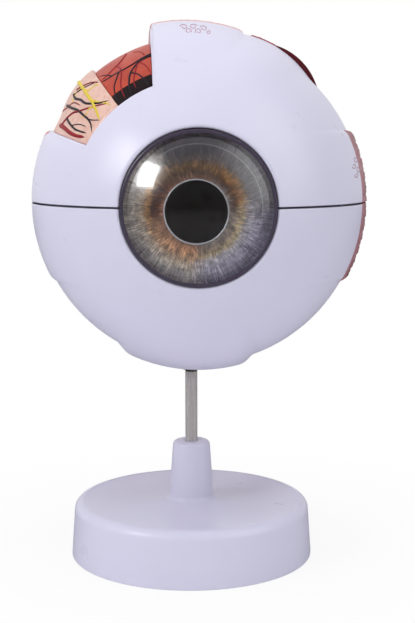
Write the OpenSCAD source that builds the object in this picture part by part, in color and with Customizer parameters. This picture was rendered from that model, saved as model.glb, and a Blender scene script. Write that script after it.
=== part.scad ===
// Six times life size model of a left human eye on a round stand.
// The globe splits along its level middle plane, and the pieces lift out one after the other.
// Z is up and the eye looks along -Y. The origin is the middle of the stand's underside.

/* [Globe] */
// Diameter of the white globe
globe_d = 144; // [138:1:150]
// Height of the globe's middle over the table
globe_z = 160; // [150:1:180]
// How far the globe's middle stands to the right of the rod
globe_x = 3.4; // [0:0.1:4]
// Thickness of the white shell
sclera_t = 5; // [4.5:0.1:5.2]
// Thickness of the vessel shell inside it
choroid_t = 3.7; // [3.2:0.1:4]
// Thickness of the innermost shell
retina_t = 2.5; // [2:0.1:3]
// Gap between pieces that lift out of each other
lift_gap = 0.3; // [0.25:0.01:0.4]
// Gap of the level seam between the two halves
seam_gap = 0.4; // [0.3:0.05:0.6]

/* [Front] */
// Diameter of the round opening for the cornea
bore_d = 62.6; // [61.5:0.1:63.5]
// Outer radius of curvature of the cornea
cornea_r = 46.8; // [45:0.1:50]
// Thickness of the cornea
cornea_t = 2; // [1.6:0.1:2.4]
// How far the cornea stands out in front of its ring
cornea_rise = 12; // [11:0.1:13]
// Width of the dark ring round the cornea
limbus_w = 2; // [1.6:0.1:2.4]
// Diameter of the pupil
pupil_d = 25; // [16:0.5:30]
// How far the pupil lies to the nose side
pupil_x = 0.9; // [0:0.1:2]
// How far the pupil lies below the middle
pupil_drop = 1.5; // [0:0.1:2.5]
// Thickness of the iris disc
iris_t = 2; // [1.6:0.1:2.2]

/* [Inside] */
// Diameter of the lens
lens_d = 54; // [50:0.5:55]
// Thickness of the lens
lens_t = 24; // [21:0.5:25]
// Wall thickness of the clear ball
vitreous_wall = 2.5; // [2:0.1:3.5]
// Gap between the iris and the front of the lens
lens_gap = 5.2; // [4.7:0.1:6.2]
// Diameter of the optic nerve's sheath
nerve_d = 20; // [17:0.5:22]
// Diameter of the optic nerve inside the sheath
nerve_core_d = 15; // [12:0.5:15.5]
// How far the nerve stands out behind the globe
nerve_l = 20; // [14:1:26]
// How far the nerve lies to the nose side
nerve_x = 18; // [15:0.5:20]

/* [Muscles] */
// Width of the upper straight muscle at the globe's middle
upper_w = 42.4; // [39:0.1:44]
// Angle at which the upper muscle's nose side spreads backward
upper_fan = 3.5; // [0:0.1:5]
// Width of the two side muscles
side_w = 65; // [58:1:66]
// Width of the lower straight muscle
lower_w = 60; // [52:1:62]
// How far the upper muscle's sphere stands out from the globe's
upper_h = 9.4; // [8.5:0.1:10]
// How far the side muscles' spheres stand out from the globe's
side_h = 1.9; // [1.5:0.1:2.5]
// How far the lower muscle's sphere stands out from the globe's
lower_h = 3.6; // [3:0.1:4.2]

/* [Window] */
// Distance of the window's front edge from the globe's middle
window_front = 49.8; // [47:0.1:51]
// Distance of the window's back edge behind the globe's middle
window_back = 20; // [12:1:26]
// Slope of the window's lower edge against the seam plane
window_low = 18.5; // [15:0.5:21]
// Angle of the step between the window's two layers
window_step = 51.3; // [45:0.1:56]

/* [Stand] */
// Diameter of the stand at the table
base_d = 109.4; // [104:0.1:116]
// Height of the stand's rim
base_h = 24.6; // [22:0.1:28]
// Height of the socket column's top
column_z = 51.6; // [46:0.1:56]
// Diameter of the socket column's top
column_d = 16.4; // [15:0.1:18]
// Diameter of the steel rod
rod_d = 5.5; // [5:0.1:6]
// Radial clearance of the rod in its two holes
rod_fit = 0.08; // [0.04:0.01:0.1]
// Depth of the rod's socket in the column
socket_depth = 24; // [18:1:30]
// Wall thickness of the stand
base_wall = 2.8; // [2.4:0.1:3.4]

/* [Hidden] */
$fn = 96;
globe_r = globe_d / 2;
sclera_in = globe_r - sclera_t;
choroid_in = sclera_in - choroid_t;
retina_in = choroid_in - retina_t;
vitreous_r = retina_in - lift_gap;
bore_r = bore_d / 2;
cover = globe_d;
pupil_r = pupil_d / 2;

// Front pieces, as distances from the globe's middle along the line of sight.
ledge_r = bore_r - 2.4;
iris_back = sqrt(pow(choroid_in, 2) - pow(ledge_r, 2)) + 0.9;
iris_front = iris_back + iris_t;
ring_r = bore_r - lift_gap;
ring_back = iris_front + 0.15;
ring_front = sqrt(pow(globe_r, 2) - pow(bore_r, 2)) + 0.2;
dome_r = ring_r - limbus_w;
dome_mid = ring_front + cornea_rise - cornea_r;
skirt_r = dome_r - cornea_t;
lip_r = 1.2;
pupil_lip = 0.6;

// The lens has a flatter front and a rounder back, joined by a short band.
lens_r = lens_d / 2;
lens_front_r = 60;
lens_back_r = 36;
lens_front = iris_back - lens_gap;
lens_back = lens_front - lens_t;
lens_edge = lens_back + lens_back_r - sqrt(pow(lens_back_r, 2) - pow(lens_r, 2));
ciliary_t = 5;
ciliary_slope = 3;
ciliary_tip = sqrt(pow(vitreous_r, 2) - pow(lens_edge + ciliary_t, 2)) - 0.2;
ciliary_in = lens_r + 3;

// The nerve's inner end is sunk, so that the clear ball can be lifted past it.
cup_r = norm([retina_in, nerve_core_d / 2]) + 0.1;
vessel_r = 1.3;
vessel_l = 16;

// Every muscle lies on a copy of the globe that is moved out and back.
muscle_rise = 0.5;
upper_az = 129;
lower_az = -92;
lower_side = 6;
side_drop = 1.5;
tendon_back = 5;
lower_tendon_back = -9;
muscle_back = -44;
side_front = 23;
upper_back = 7.6;
side_shift = 2.3;
lower_shift = 4.3;
oblique_az = 56;
oblique_rise = 4.6;
oblique_r = 29.2;
oblique_front = 3;
oblique_end = -38;
tendon_az = 69;
tendon_rise = 3.5;
tendon_r = 45;
tendon_shift = 5.8;
under_az = -34;
under_w = 44;
under_out = 3;
under_shift = 4;
under_front = muscle_back - 2;
under_end = 12 - globe_r;

// The window's layers bulge, each by a surface of its own.
bulge_az = 134.5;
bulge_r = 24;
bulge_rise = 2.2;
bulge_back = 3.4;
layer_r = globe_r - 1;
layer_az = 119;
layer_out = 2.2;
layer_back = 2.9;
window_low_y = 9.4;
window_apex = -window_low_y / (tan(window_step) - tan(window_low));

// Stand and swivel.
base_r = base_d / 2;
shoulder_r = 4;
rim_r = base_r - shoulder_r - 1.4;
dish_in = column_d / 2 + 4;
dish_depth = 2.2;
dish_mid = (rim_r + dish_in) / 2;
dish_arc = (pow(rim_r - dish_mid, 2) + pow(dish_depth, 2)) / (2 * dish_depth);
foot_r = 3;
column_foot = column_d / 2 + 2;
column_edge = 2;
boss_r = 11;
rod_r = rod_d / 2;
rod_hole = rod_r + rod_fit;
rod_low = column_z - socket_depth;
globe_low = globe_z - globe_r - lower_h + 0.5;
bush_r = rod_r + 1.8;
swivel_depth = 6.6;
rod_top = globe_low + swivel_depth;
rod_tip = 0.6;
plate_t = 2.2;
plate_r = base_r - base_wall - 0.6;
plate_gap = 0.2;
screw_ring = 38;
screw_r = 3;
screw_count = 4;
screw_thread = 1.25;
screw_head_z = 0.3;
screw_head_h = 0.8;
screw_top = 7.9;
screw_fit = 0.05;
post_r = 3.6;
base_roof = base_h - dish_depth - base_wall;

// Pegs in the level rim.
peg_r = 1.3;
peg_fit = 0.08;
peg_h = 5;
peg_depth = 4;
peg_angles = [32, 148, 232, 308];
peg_ring = globe_r - sclera_t / 2;

// In this frame +X is the viewer's right, +Y is up and +Z is the line of sight.
module sight() {
    translate([globe_x, 0, globe_z]) rotate([90, 0, 0]) children();
}

module above_seam() {
    translate([-cover, seam_gap, -cover]) cube([2 * cover, cover, 2 * cover]);
}

module below_seam() {
    translate([-cover, -cover, -cover]) cube([2 * cover, cover, 2 * cover]);
}

module shell(outer, inner) {
    difference() {
        sphere(outer);
        sphere(inner);
    }
}

// A slab across the line of sight, from one distance to another.
module slab(from, to) {
    translate([-cover, -cover, from]) cube([2 * cover, 2 * cover, to - from]);
}

// A copy of the globe, moved along an azimuth and backward, raised a little.
module moved_globe(az, out, back, rise = 0) {
    translate([out * cos(az), out * sin(az), -back]) sphere(globe_r + rise);
}

// The nose side of the upper muscle, at a distance along the line of sight.
function upper_left(z) = -upper_w / 2 - 0.2 + z * tan(upper_fan);

// The straight-sided blocks that the muscles are cut out of. Spare lets one reach into the window.
module upper_block(from, to, spare) {
    right = upper_w / 2 - 0.2;
    rotate([-90, 0, 0]) linear_extrude(cover)
        polygon([[upper_left(from) - spare, -from], [upper_left(to) - spare, -to],
            [right, -to], [right, -from]]);
}

module lower_block(from, to) {
    translate([-lower_w / 2 - lower_side, -cover, from]) cube([lower_w, cover, to - from]);
}

module side_block(side, from, to) {
    x = side > 0 ? 0 : -cover;
    translate([x, -side_w / 2 - side_drop, from]) cube([cover, side_w, to - from]);
}

module upper_pad(from, to, rise = 0, spare = 0) {
    intersection() {
        moved_globe(upper_az, upper_h, upper_back, rise);
        upper_block(from, to, spare);
    }
}

module lower_pad(from, to, rise = 0) {
    intersection() {
        moved_globe(lower_az, lower_h, lower_shift, rise);
        lower_block(from, to);
    }
}

module side_pad(side, from, to, rise = 0) {
    intersection() {
        moved_globe(side > 0 ? 0 : 180, side_h, side_shift, rise);
        side_block(side, from, to);
    }
}

// A rim that bulges round one azimuth, made by turning part of a circle about the globe's middle.
module bulge(az, core, radius, back) {
    translate([0, 0, -back]) rotate([0, 0, az - 90]) rotate([0, 90, 0])
        rotate_extrude() intersection() {
            translate([core, 0]) circle(radius);
            translate([globe_r / 2, -radius]) square(2 * radius);
        }
}

// The wedge of the window between its lower edge or step line and the upper muscle's side.
module window_block(layer) {
    reach = globe_r * 1.4;
    apex = [window_apex, -window_apex * tan(window_step)];
    step = [-reach, reach * tan(window_step)];
    low = [-reach, window_low_y + reach * tan(window_low)];
    intersection() {
        translate([0, 0, -window_back]) linear_extrude(window_front + window_back) {
            if (layer == "choroid") polygon([apex, low, step]);
            if (layer == "vessels") polygon([apex, step, [0, 2 * reach]]);
            if (layer == "both") polygon([apex, low, step, [0, 2 * reach]]);
        }
        rotate([-90, 0, 0]) linear_extrude(2 * cover)
            polygon([[-cover, -window_front - 1], [upper_left(window_front + 1), -window_front - 1],
                [upper_left(-window_back - 1), window_back + 1], [-cover, window_back + 1]]);
    }
}

module nerve_bore(r) {
    translate([-nerve_x, 0, -retina_in / 2]) rotate([180, 0, 0]) cylinder(r = r, h = cover);
}

module pegs(r, depth, h) {
    for (a = peg_angles)
        translate([peg_ring * cos(a), -depth, peg_ring * sin(a)])
            rotate([-90, 0, 0]) cylinder(r = r, h = depth + h);
}

module base_shell() {
    color("lavender") difference() {
        union() {
            rotate_extrude() base_outline();
            translate([0, 0, plate_t + plate_gap]) base_posts(post_r, base_roof - plate_t);
        }
        translate([0, 0, rod_low]) cylinder(r = rod_hole, h = socket_depth + 1);
        translate([0, 0, column_z - 0.9]) cylinder(r1 = rod_hole, r2 = rod_hole + 1, h = 1);
        base_posts(screw_thread + screw_fit, screw_top + 0.5);
    }
}

module base_outline() {
    difference() {
        union() {
            polygon([[0, 0], [base_r, 0], [base_r, 1], [rim_r + shoulder_r, base_h - shoulder_r],
                [rim_r, base_h - shoulder_r], [rim_r, base_h], [0, base_h]]);
            translate([rim_r, base_h - shoulder_r]) circle(shoulder_r);
            polygon([[0, base_h], [column_foot, base_h], [column_d / 2, column_z - column_edge],
                [column_d / 2 - column_edge, column_z], [0, column_z]]);
            translate([column_d / 2 - column_edge, column_z - column_edge]) circle(column_edge);
        }
        intersection() {
            translate([dish_mid, base_h - dish_depth + dish_arc]) circle(dish_arc);
            translate([dish_in, 0]) square([rim_r - dish_in, column_z]);
        }
        base_hollow();
    }
    difference() {
        translate([column_foot - 0.5, base_h - 0.5]) square(foot_r);
        translate([column_foot - 0.5 + foot_r, base_h - 0.5 + foot_r]) circle(foot_r);
    }
}

module base_hollow() {
    polygon([[boss_r, plate_t + plate_gap], [boss_r - 1, base_roof - 1], [boss_r + 2, base_roof],
        [rim_r - 3, base_roof], [base_r - base_wall - 1.6, base_roof - 4],
        [base_r - base_wall, plate_t + plate_gap]]);
    translate([0, -1]) square([plate_r + plate_gap, plate_t + plate_gap + 1]);
}

module base_posts(r, h) {
    for (k = [0:screw_count - 1])
        rotate([0, 0, 45 + k * 360 / screw_count]) translate([screw_ring, 0, 0]) cylinder(r = r, h = h);
}

module base_plate() {
    color("gray") difference() {
        cylinder(r = plate_r, h = plate_t);
        translate([0, 0, -1]) base_posts(screw_r + 0.2, screw_head_z + screw_head_h + 1);
        translate([0, 0, -1]) base_posts(screw_thread + screw_fit, plate_t + 2);
    }
}

module base_screws() {
    color("silver") difference() {
        union() {
            translate([0, 0, screw_head_z]) base_posts(screw_r, screw_head_h);
            translate([0, 0, screw_head_z]) base_posts(screw_thread, screw_top - screw_head_z);
        }
        for (k = [0:screw_count - 1])
            rotate([0, 0, 45 + k * 360 / screw_count])
                translate([screw_ring, 0, 0])
                    for (t = [0, 90])
                        rotate([0, 0, t]) cube([screw_r, 0.7, 1.4], center = true);
    }
}

module stand_rod() {
    color("silver") {
        translate([0, 0, rod_low + rod_tip]) cylinder(r = rod_r, h = rod_top - rod_low - 2 * rod_tip);
        translate([0, 0, rod_low]) cylinder(r1 = rod_r - rod_tip, r2 = rod_r, h = rod_tip);
        translate([0, 0, rod_top - rod_tip]) cylinder(r1 = rod_r, r2 = rod_r - rod_tip, h = rod_tip);
    }
}

module swivel_bush() {
    color("dimgray") difference() {
        translate([0, 0, globe_low - 0.3]) cylinder(r = bush_r, h = swivel_depth + 0.4);
        translate([0, 0, globe_low - 1]) cylinder(r = rod_hole, h = swivel_depth + 1.1);
    }
}

module front_bore() {
    edge = sqrt(pow(globe_r, 2) - pow(bore_r + lip_r, 2));
    cylinder(r = bore_r, h = cover);
    translate([0, 0, edge - 0.5]) cylinder(r1 = bore_r, r2 = bore_r + 2 * lip_r, h = 2 * lip_r);
}

module sclera_lower() {
    color("lavender") difference() {
        intersection() {
            sight() difference() {
                union() {
                    sphere(globe_r);
                    lower_pad(lower_tendon_back, cover);
                    side_pad(1, side_front, cover);
                    side_pad(-1, tendon_back, cover);
                }
                sphere(sclera_in);
                front_bore();
                nerve_bore(nerve_d / 2);
                pegs(peg_r, peg_depth, 1);
            }
            sight() below_seam();
        }
        translate([0, 0, globe_low - 2]) cylinder(r = bush_r, h = swivel_depth + 2.1);
    }
}

module sclera_upper() {
    color("lavender") intersection() {
        sight() difference() {
            union() {
                sphere(globe_r);
                upper_pad(tendon_back, cover, spare = 0.6);
                side_pad(1, side_front, cover);
                side_pad(-1, tendon_back, cover);
                oblique_tendon();
            }
            sphere(sclera_in);
            front_bore();
            window_block("both");
            nerve_bore(nerve_d / 2 + lift_gap);
            pegs(peg_r + peg_fit, 0, peg_h + 0.4);
        }
        sight() above_seam();
    }
}

// The white stretch of tendon that runs out from under the upper straight muscle.
module oblique_tendon() {
    intersection() {
        bulge(tendon_az, globe_r + tendon_rise - tendon_r, tendon_r, tendon_shift);
        slab(oblique_front, cover);
        translate([upper_w / 2 - 1, 0, -cover]) cube([cover, cover, 2 * cover]);
    }
}

module window_choroid() {
    color("rosybrown") sight() difference() {
        intersection() {
            union() {
                bulge(bulge_az, globe_r + bulge_rise - bulge_r, bulge_r, bulge_back);
                translate([0, 0, -1]) sphere(globe_r - 1.2);
            }
            window_block("choroid");
        }
        sphere(sclera_in);
    }
}

module window_vessel_layer() {
    color("firebrick") sight() difference() {
        intersection() {
            translate([layer_out * cos(layer_az), layer_out * sin(layer_az), -layer_back]) sphere(layer_r);
            window_block("vessels");
        }
        sphere(sclera_in);
    }
}

// A half of the two inner shells, with the hole for the iris and its ledge.
module choroid(outer) {
    difference() {
        shell(outer, choroid_in);
        translate([0, 0, iris_back - 0.1]) cylinder(r = bore_r, h = cover);
        cylinder(r = ledge_r, h = cover);
    }
}

module choroid_lower() {
    color("brown") sight() intersection() {
        difference() {
            choroid(sclera_in);
            nerve_bore(nerve_core_d / 2);
        }
        below_seam();
    }
}

module choroid_upper() {
    color("brown") sight() intersection() {
        difference() {
            choroid(sclera_in - lift_gap);
            nerve_bore(nerve_core_d / 2 + lift_gap);
        }
        above_seam();
    }
}

module retina(gap) {
    difference() {
        shell(choroid_in, retina_in);
        cylinder(r = ledge_r, h = cover);
        nerve_bore(nerve_core_d / 2 + gap);
    }
}

module retina_lower() {
    color("coral") sight() intersection() {
        retina(0);
        below_seam();
    }
}

module retina_upper() {
    color("coral") sight() intersection() {
        retina(lift_gap);
        above_seam();
    }
}

module locating_pegs() {
    color("white") sight() pegs(peg_r, peg_depth, peg_h);
}

module cornea() {
    color("white", 0.3) sight() difference() {
        intersection() {
            translate([0, 0, dome_mid]) sphere(cornea_r);
            translate([0, 0, ring_back + 0.3]) cylinder(r = dome_r, h = cover);
        }
        intersection() {
            translate([0, 0, dome_mid]) sphere(cornea_r - cornea_t);
            cylinder(r = skirt_r, h = cover);
        }
    }
}

module limbus_ring() {
    color("indigo") sight() difference() {
        translate([0, 0, ring_back]) cylinder(r = ring_r, h = ring_front - ring_back);
        cylinder(r = dome_r, h = cover);
    }
}

module iris() {
    color("peru") sight() difference() {
        union() {
            translate([0, 0, iris_back]) cylinder(r = ring_r, h = iris_t - 0.8);
            translate([0, 0, iris_front - 0.8]) cylinder(r1 = ring_r, r2 = ring_r - 6, h = 0.8);
        }
        translate([-pupil_x, -pupil_drop, 0]) cylinder(r = pupil_r + pupil_lip, h = cover);
    }
}

module pupil_rim() {
    color("silver") sight() translate([-pupil_x, -pupil_drop, iris_back - 0.3]) difference() {
        cylinder(r = pupil_r + pupil_lip, h = iris_t + 0.6);
        translate([0, 0, -1]) cylinder(r = pupil_r, h = iris_t + 3);
    }
}

module lens_solid(grow) {
    intersection() {
        translate([0, 0, lens_front - lens_front_r]) sphere(lens_front_r);
        translate([0, 0, lens_back + lens_back_r]) sphere(lens_back_r + grow);
        cylinder(r = lens_r + grow, h = cover);
    }
}

module lens() {
    color("white", 0.4) sight() lens_solid(0);
}

module ciliary_body() {
    color("saddlebrown") sight() difference() {
        translate([0, 0, lens_edge])
            cylinder(r1 = ciliary_tip + ciliary_slope, r2 = ciliary_tip, h = ciliary_t);
        translate([0, 0, lens_edge - 1])
            cylinder(r1 = ciliary_in, r2 = ciliary_in + ciliary_slope, h = ciliary_t + 2);
    }
}

// The clear ball is hollow, with a flat face and a dimple for the lens.
module vitreous_form(wall) {
    difference() {
        sphere(vitreous_r - wall);
        slab(lens_edge - wall, cover);
        translate([0, 0, lens_back + lens_back_r]) sphere(lens_back_r + wall);
    }
}

module vitreous_body() {
    color("lightcyan", 0.4) sight() difference() {
        vitreous_form(0);
        vitreous_form(vitreous_wall);
    }
}

module nerve_sheath() {
    color("mistyrose") sight() difference() {
        intersection() {
            nerve_bore(nerve_d / 2);
            slab(-globe_r - nerve_l, 0);
        }
        sphere(sclera_in);
        nerve_bore(nerve_core_d / 2);
    }
}

module nerve_core() {
    color("khaki") sight() difference() {
        intersection() {
            nerve_bore(nerve_core_d / 2);
            slab(-globe_r - nerve_l - 1.5, 0);
        }
        sphere(cup_r);
        nerve_vessel_pair();
    }
}

module nerve_vessel_pair() {
    for (s = [-1, 1])
        translate([-nerve_x + s * (vessel_r + 0.7), 0, -globe_r - nerve_l - 2.3])
            cylinder(r = vessel_r, h = vessel_l);
}

module nerve_vessels() {
    color("darkred") sight() nerve_vessel_pair();
}

module superior_rectus() {
    color("indianred") sight() intersection() {
        difference() {
            upper_pad(muscle_back, tendon_back, muscle_rise);
            sphere(globe_r);
        }
        translate([-cover, 0, -cover]) cube([2 * cover, cover, 2 * cover]);
    }
}

module inferior_rectus() {
    color("indianred") sight() difference() {
        lower_pad(muscle_back, lower_tendon_back, muscle_rise);
        sphere(globe_r);
    }
}

module side_muscle(side, from) {
    sight() difference() {
        side_pad(side, muscle_back, from, muscle_rise);
        sphere(globe_r);
    }
}

module lateral_rectus_upper() {
    color("indianred") intersection() {
        side_muscle(1, side_front);
        sight() above_seam();
    }
}

module lateral_rectus_lower() {
    color("indianred") intersection() {
        side_muscle(1, side_front);
        sight() below_seam();
    }
}

module medial_rectus_upper() {
    color("indianred") intersection() {
        side_muscle(-1, tendon_back);
        sight() above_seam();
    }
}

module medial_rectus_lower() {
    color("indianred") intersection() {
        side_muscle(-1, tendon_back);
        sight() below_seam();
    }
}

module superior_oblique() {
    color("maroon") sight() difference() {
        intersection() {
            bulge(oblique_az, globe_r + oblique_rise - oblique_r, oblique_r, 0);
            slab(oblique_end, oblique_front);
            translate([upper_w / 2 + 0.5, seam_gap, -cover]) cube([cover, cover, 2 * cover]);
        }
        sphere(globe_r);
    }
}

module inferior_oblique() {
    color("maroon") sight() difference() {
        intersection() {
            moved_globe(under_az, under_out, under_shift, muscle_rise);
            rotate([0, 0, under_az]) translate([0, -under_w / 2, under_end])
                cube([cover, under_w, under_front - under_end]);
            below_seam();
        }
        sphere(globe_r);
    }
}

base_shell();
base_plate();
base_screws();
stand_rod();
swivel_bush();
sclera_lower();
sclera_upper();
window_choroid();
window_vessel_layer();
choroid_lower();
choroid_upper();
retina_lower();
retina_upper();
locating_pegs();
cornea();
limbus_ring();
iris();
pupil_rim();
lens();
ciliary_body();
vitreous_body();
nerve_sheath();
nerve_core();
nerve_vessels();
superior_rectus();
inferior_rectus();
lateral_rectus_upper();
lateral_rectus_lower();
medial_rectus_upper();
medial_rectus_lower();
superior_oblique();
inferior_oblique();
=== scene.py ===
import math

import bmesh
import bpy
import numpy as np
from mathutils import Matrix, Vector


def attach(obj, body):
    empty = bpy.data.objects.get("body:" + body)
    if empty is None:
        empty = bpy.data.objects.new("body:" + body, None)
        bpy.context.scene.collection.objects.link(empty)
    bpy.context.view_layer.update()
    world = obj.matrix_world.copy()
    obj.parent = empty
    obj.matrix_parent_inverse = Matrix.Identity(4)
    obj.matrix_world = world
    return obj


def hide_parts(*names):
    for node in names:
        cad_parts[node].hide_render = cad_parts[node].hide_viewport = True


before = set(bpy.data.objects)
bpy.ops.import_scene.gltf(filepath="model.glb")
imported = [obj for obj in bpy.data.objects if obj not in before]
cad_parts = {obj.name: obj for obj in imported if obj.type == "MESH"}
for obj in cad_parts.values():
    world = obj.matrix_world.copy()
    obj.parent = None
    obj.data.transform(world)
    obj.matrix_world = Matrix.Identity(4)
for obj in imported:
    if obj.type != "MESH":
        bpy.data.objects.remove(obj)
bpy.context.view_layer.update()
mm = 0.001

# The eye's own frame has x to the viewer's right, y up and z forward along the line of sight.
# Its lengths are in millimetres until toWorld() turns them into the frame's metres.
globe = {"centreX": 3.4, "centreZ": 160.0, "radius": 72.0, "inner": 67.0, "seamGap": 0.4, "seamRound": 0.45,
         "bore": 31.3, "boreRound": 1.7}
window = {"front": 49.8, "back": -20.0, "lowY": 9.4, "lowSlope": 18.5, "stepAzimuth": 128.7, "edgeRound": 0.8}
# how far each muscle's sphere is moved out and back from the globe's, its block's limits, and the
# rounding and softness of the white pad that it grows from
muscles = {
    "upper": {"azimuth": 129.0, "out": 9.4, "back": 7.6, "right": 21.0, "left": -21.4, "fan": 3.5,
              "rightRound": 3.6, "leftRound": 1.9, "soft": 0.6},
    "lower": {"azimuth": -92.0, "out": 3.6, "back": 4.3, "right": 24.0, "left": -36.0, "round": 6.0, "soft": 0.9},
    "right": {"azimuth": 0.0, "out": 1.9, "back": 2.3, "front": 20.5},
    "left": {"azimuth": 180.0, "out": 1.9, "back": 2.3, "front": 5.0, "topRound": 4.5},
    "side": {"top": 31.0, "bottom": -34.0, "round": 2.2, "soft": 0.35},
    "tendonBack": 5.0,
    "lowerTendonBack": -9.0,
    "back": -44.0,
    "rise": 0.5,
}
# the white tendon of the maroon muscle, a rim that is turned about the globe's middle
tendon = {"azimuth": 69.0, "rise": 4.2, "radius": 45.0, "back": 5.8, "start": 3.0, "left": 10.0, "round": 1.2,
          "soft": 0.3}
tiny = 0.02  # lets a grid line count as inside the form that it borders
far = 99.0  # further than any rounding reaches


def toWorld(points):
    p = np.asarray(points, float)
    return np.stack([globe["centreX"] + p[..., 0], -p[..., 2], globe["centreZ"] + p[..., 1]], -1) * mm


def direction(azimuth, polar):
    return np.stack([np.sin(polar) * np.cos(azimuth), np.sin(polar) * np.sin(azimuth), np.cos(polar)], -1)


def place(name, data):
    thing = bpy.data.objects.new(name, data)
    bpy.context.scene.collection.objects.link(thing)
    return thing


def makePiece(name, points, faces, finish, smooth=32, slots=None, hollow=False):
    mesh = bpy.data.meshes.new(name)
    mesh.from_pydata(np.asarray(points, float).reshape(-1, 3).tolist(), [], faces)
    if slots is not None:
        mesh.polygons.foreach_set("material_index", np.asarray(slots, np.int32))
    work = bmesh.new()
    work.from_mesh(mesh)
    bmesh.ops.remove_doubles(work, verts=work.verts, dist=2e-6)
    bmesh.ops.dissolve_degenerate(work, edges=work.edges, dist=1e-7)
    bmesh.ops.delete(work, geom=[e for e in work.edges if e.is_wire], context="EDGES")
    if not hollow:
        bmesh.ops.recalc_face_normals(work, faces=work.faces)
    elif work.calc_volume(signed=True) < 0:
        # the wall round a closed hollow has to keep its own sense
        bmesh.ops.reverse_faces(work, faces=work.faces)
    work.to_mesh(mesh)
    work.free()
    for paint in finish:
        mesh.materials.append(paints[paint])
    mesh.shade_smooth()
    mesh.set_sharp_from_angle(angle=math.radians(smooth))
    return place(name, mesh)


# A turned form: a closed outline of (radius, height) points carried round an axis.
def lathePoints(outline, count, sweep=360.0):
    full = sweep >= 360
    angles = np.radians(np.linspace(0, sweep, count + (0 if full else 1), endpoint=not full))
    profile = np.asarray(outline, float)
    r, h = profile[:, 0][:, None], profile[:, 1][:, None]
    points = np.stack([r * np.cos(angles), r * np.sin(angles), h + 0 * angles], -1)
    rows, columns = points.shape[:2]
    faces = []
    for i in range(rows):
        j = (i + 1) % rows
        for k in range(columns if full else columns - 1):
            m = (k + 1) % columns
            faces.append((i * columns + k, i * columns + m, j * columns + m, j * columns + k))
    if not full:
        faces.append(tuple(i * columns for i in range(rows)))
        faces.append(tuple(i * columns + columns - 1 for i in reversed(range(rows))))
    return points.reshape(-1, 3), faces


def arc(centre, radius, start, end, count):
    a = np.radians(np.linspace(start, end, count))
    return [(centre[0] + radius * math.cos(t), centre[1] + radius * math.sin(t)) for t in a]


# Rounds the corners of an outline; each corner is (radius, height, rounding).
def rounded(corners, perCorner=7):
    result = []
    for i, (x, y, r) in enumerate(corners):
        if r <= 0:
            result.append((x, y))
            continue
        here = np.array([x, y], float)
        before = np.array(corners[i - 1][:2], float) - here
        after = np.array(corners[(i + 1) % len(corners)][:2], float) - here
        before /= np.linalg.norm(before)
        after /= np.linalg.norm(after)
        half = 0.5 * math.acos(max(-1.0, min(1.0, float(before @ after))))
        reach = r / math.tan(half)
        middle = here + (before + after) / np.linalg.norm(before + after) * (r / math.sin(half))
        start = here + before * reach - middle
        end = here + after * reach - middle
        turn = math.degrees(math.atan2(start[0] * end[1] - start[1] * end[0], float(start @ end)))
        first = math.degrees(math.atan2(start[1], start[0]))
        result += arc(middle, r, first, first + turn, perCorner)
    return result


# Stations crowd in beside a sharp edge line. Each is (segment, share of the way to the next edge
# line, millimetres past it).
crowd = (0.14, 0.4, 0.8, 1.4, 2.4)


def stations(counts, sharp):
    found = []
    for k, count in enumerate(counts):
        near, beyond = (crowd if sharp[k + end] else () for end in (0, 1))
        a, b = (steps[-1] if steps else 0.0 for steps in (near, beyond))
        found += [(k, 0.0, s) for s in (0.0, *near)]
        found += [(k, t, (1 - t) * a - t * b) for t in np.linspace(0, 1, count + 1)[1:-1]]
        found += [(k, 1.0, -s) for s in reversed(beyond)]
    return found + [(len(counts) - 1, 1.0, 0.0)]


def placeStation(station, lineAt, scale):
    k, share, offset = station
    low, high = lineAt(k), lineAt(k + 1)
    room = np.minimum(1.0, 0.22 * np.abs(high - low) * scale / crowd[-1])
    return low + (high - low) * share + offset * room / scale


# A grid of points over the globe, whose rows and columns follow the edges of windows and pads.
def globeGrid(rows, columns, rowLine, columnLine, radiusOf):
    radius = np.full((len(rows), len(columns)), globe["radius"])
    for _ in range(5):
        polar = np.stack([placeStation(s, lambda k: rowLine(k, radius[i]), radius[i])
                          for i, s in enumerate(rows)])
        rho = np.maximum(radius * np.sin(polar), 1e-6)
        z = radius * np.cos(polar)
        azimuth = np.stack([placeStation(s, lambda k: columnLine(k, rho[:, j], z[:, j]), np.maximum(rho[:, j], 1.0))
                            for j, s in enumerate(columns)], 1)
        d = direction(azimuth, polar)
        radius = radiusOf(d * radius[..., None], d)
    return d * radius[..., None]


# Joins an outer and an inner grid into a closed wall round the cells that are kept.
def wallFaces(keep, poleEnd):
    rows, columns = keep.shape[0] + 1, keep.shape[1] + 1
    inner = rows * columns
    faces = []
    padded = np.pad(keep, 1)
    for r, c in zip(*np.nonzero(keep)):
        a, b = int(r * columns + c), int((r + 1) * columns + c)
        d, e = b + 1, a + 1
        faces.append((a, b, d, e))
        faces.append((a + inner, e + inner, d + inner, b + inner))
        if not padded[r + 1, c]:
            faces.append((b, a, a + inner, b + inner))
        if not padded[r + 1, c + 2]:
            faces.append((e, d, d + inner, e + inner))
        if not padded[r, c + 1]:
            faces.append((a, e, e + inner, a + inner))
        if not padded[r + 2, c + 1] and not (poleEnd and r == rows - 2):
            faces.append((d, b, b + inner, d + inner))
    return faces


# Presses a piece's points up or down, so that the joint stays open by a gap at its middle.
def closeSeam(points, gap=globe["seamGap"]):
    moved = np.array(points)
    moved[..., 1] = gap + moved[..., 1] * (1 - gap / globe["radius"])
    return moved


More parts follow.
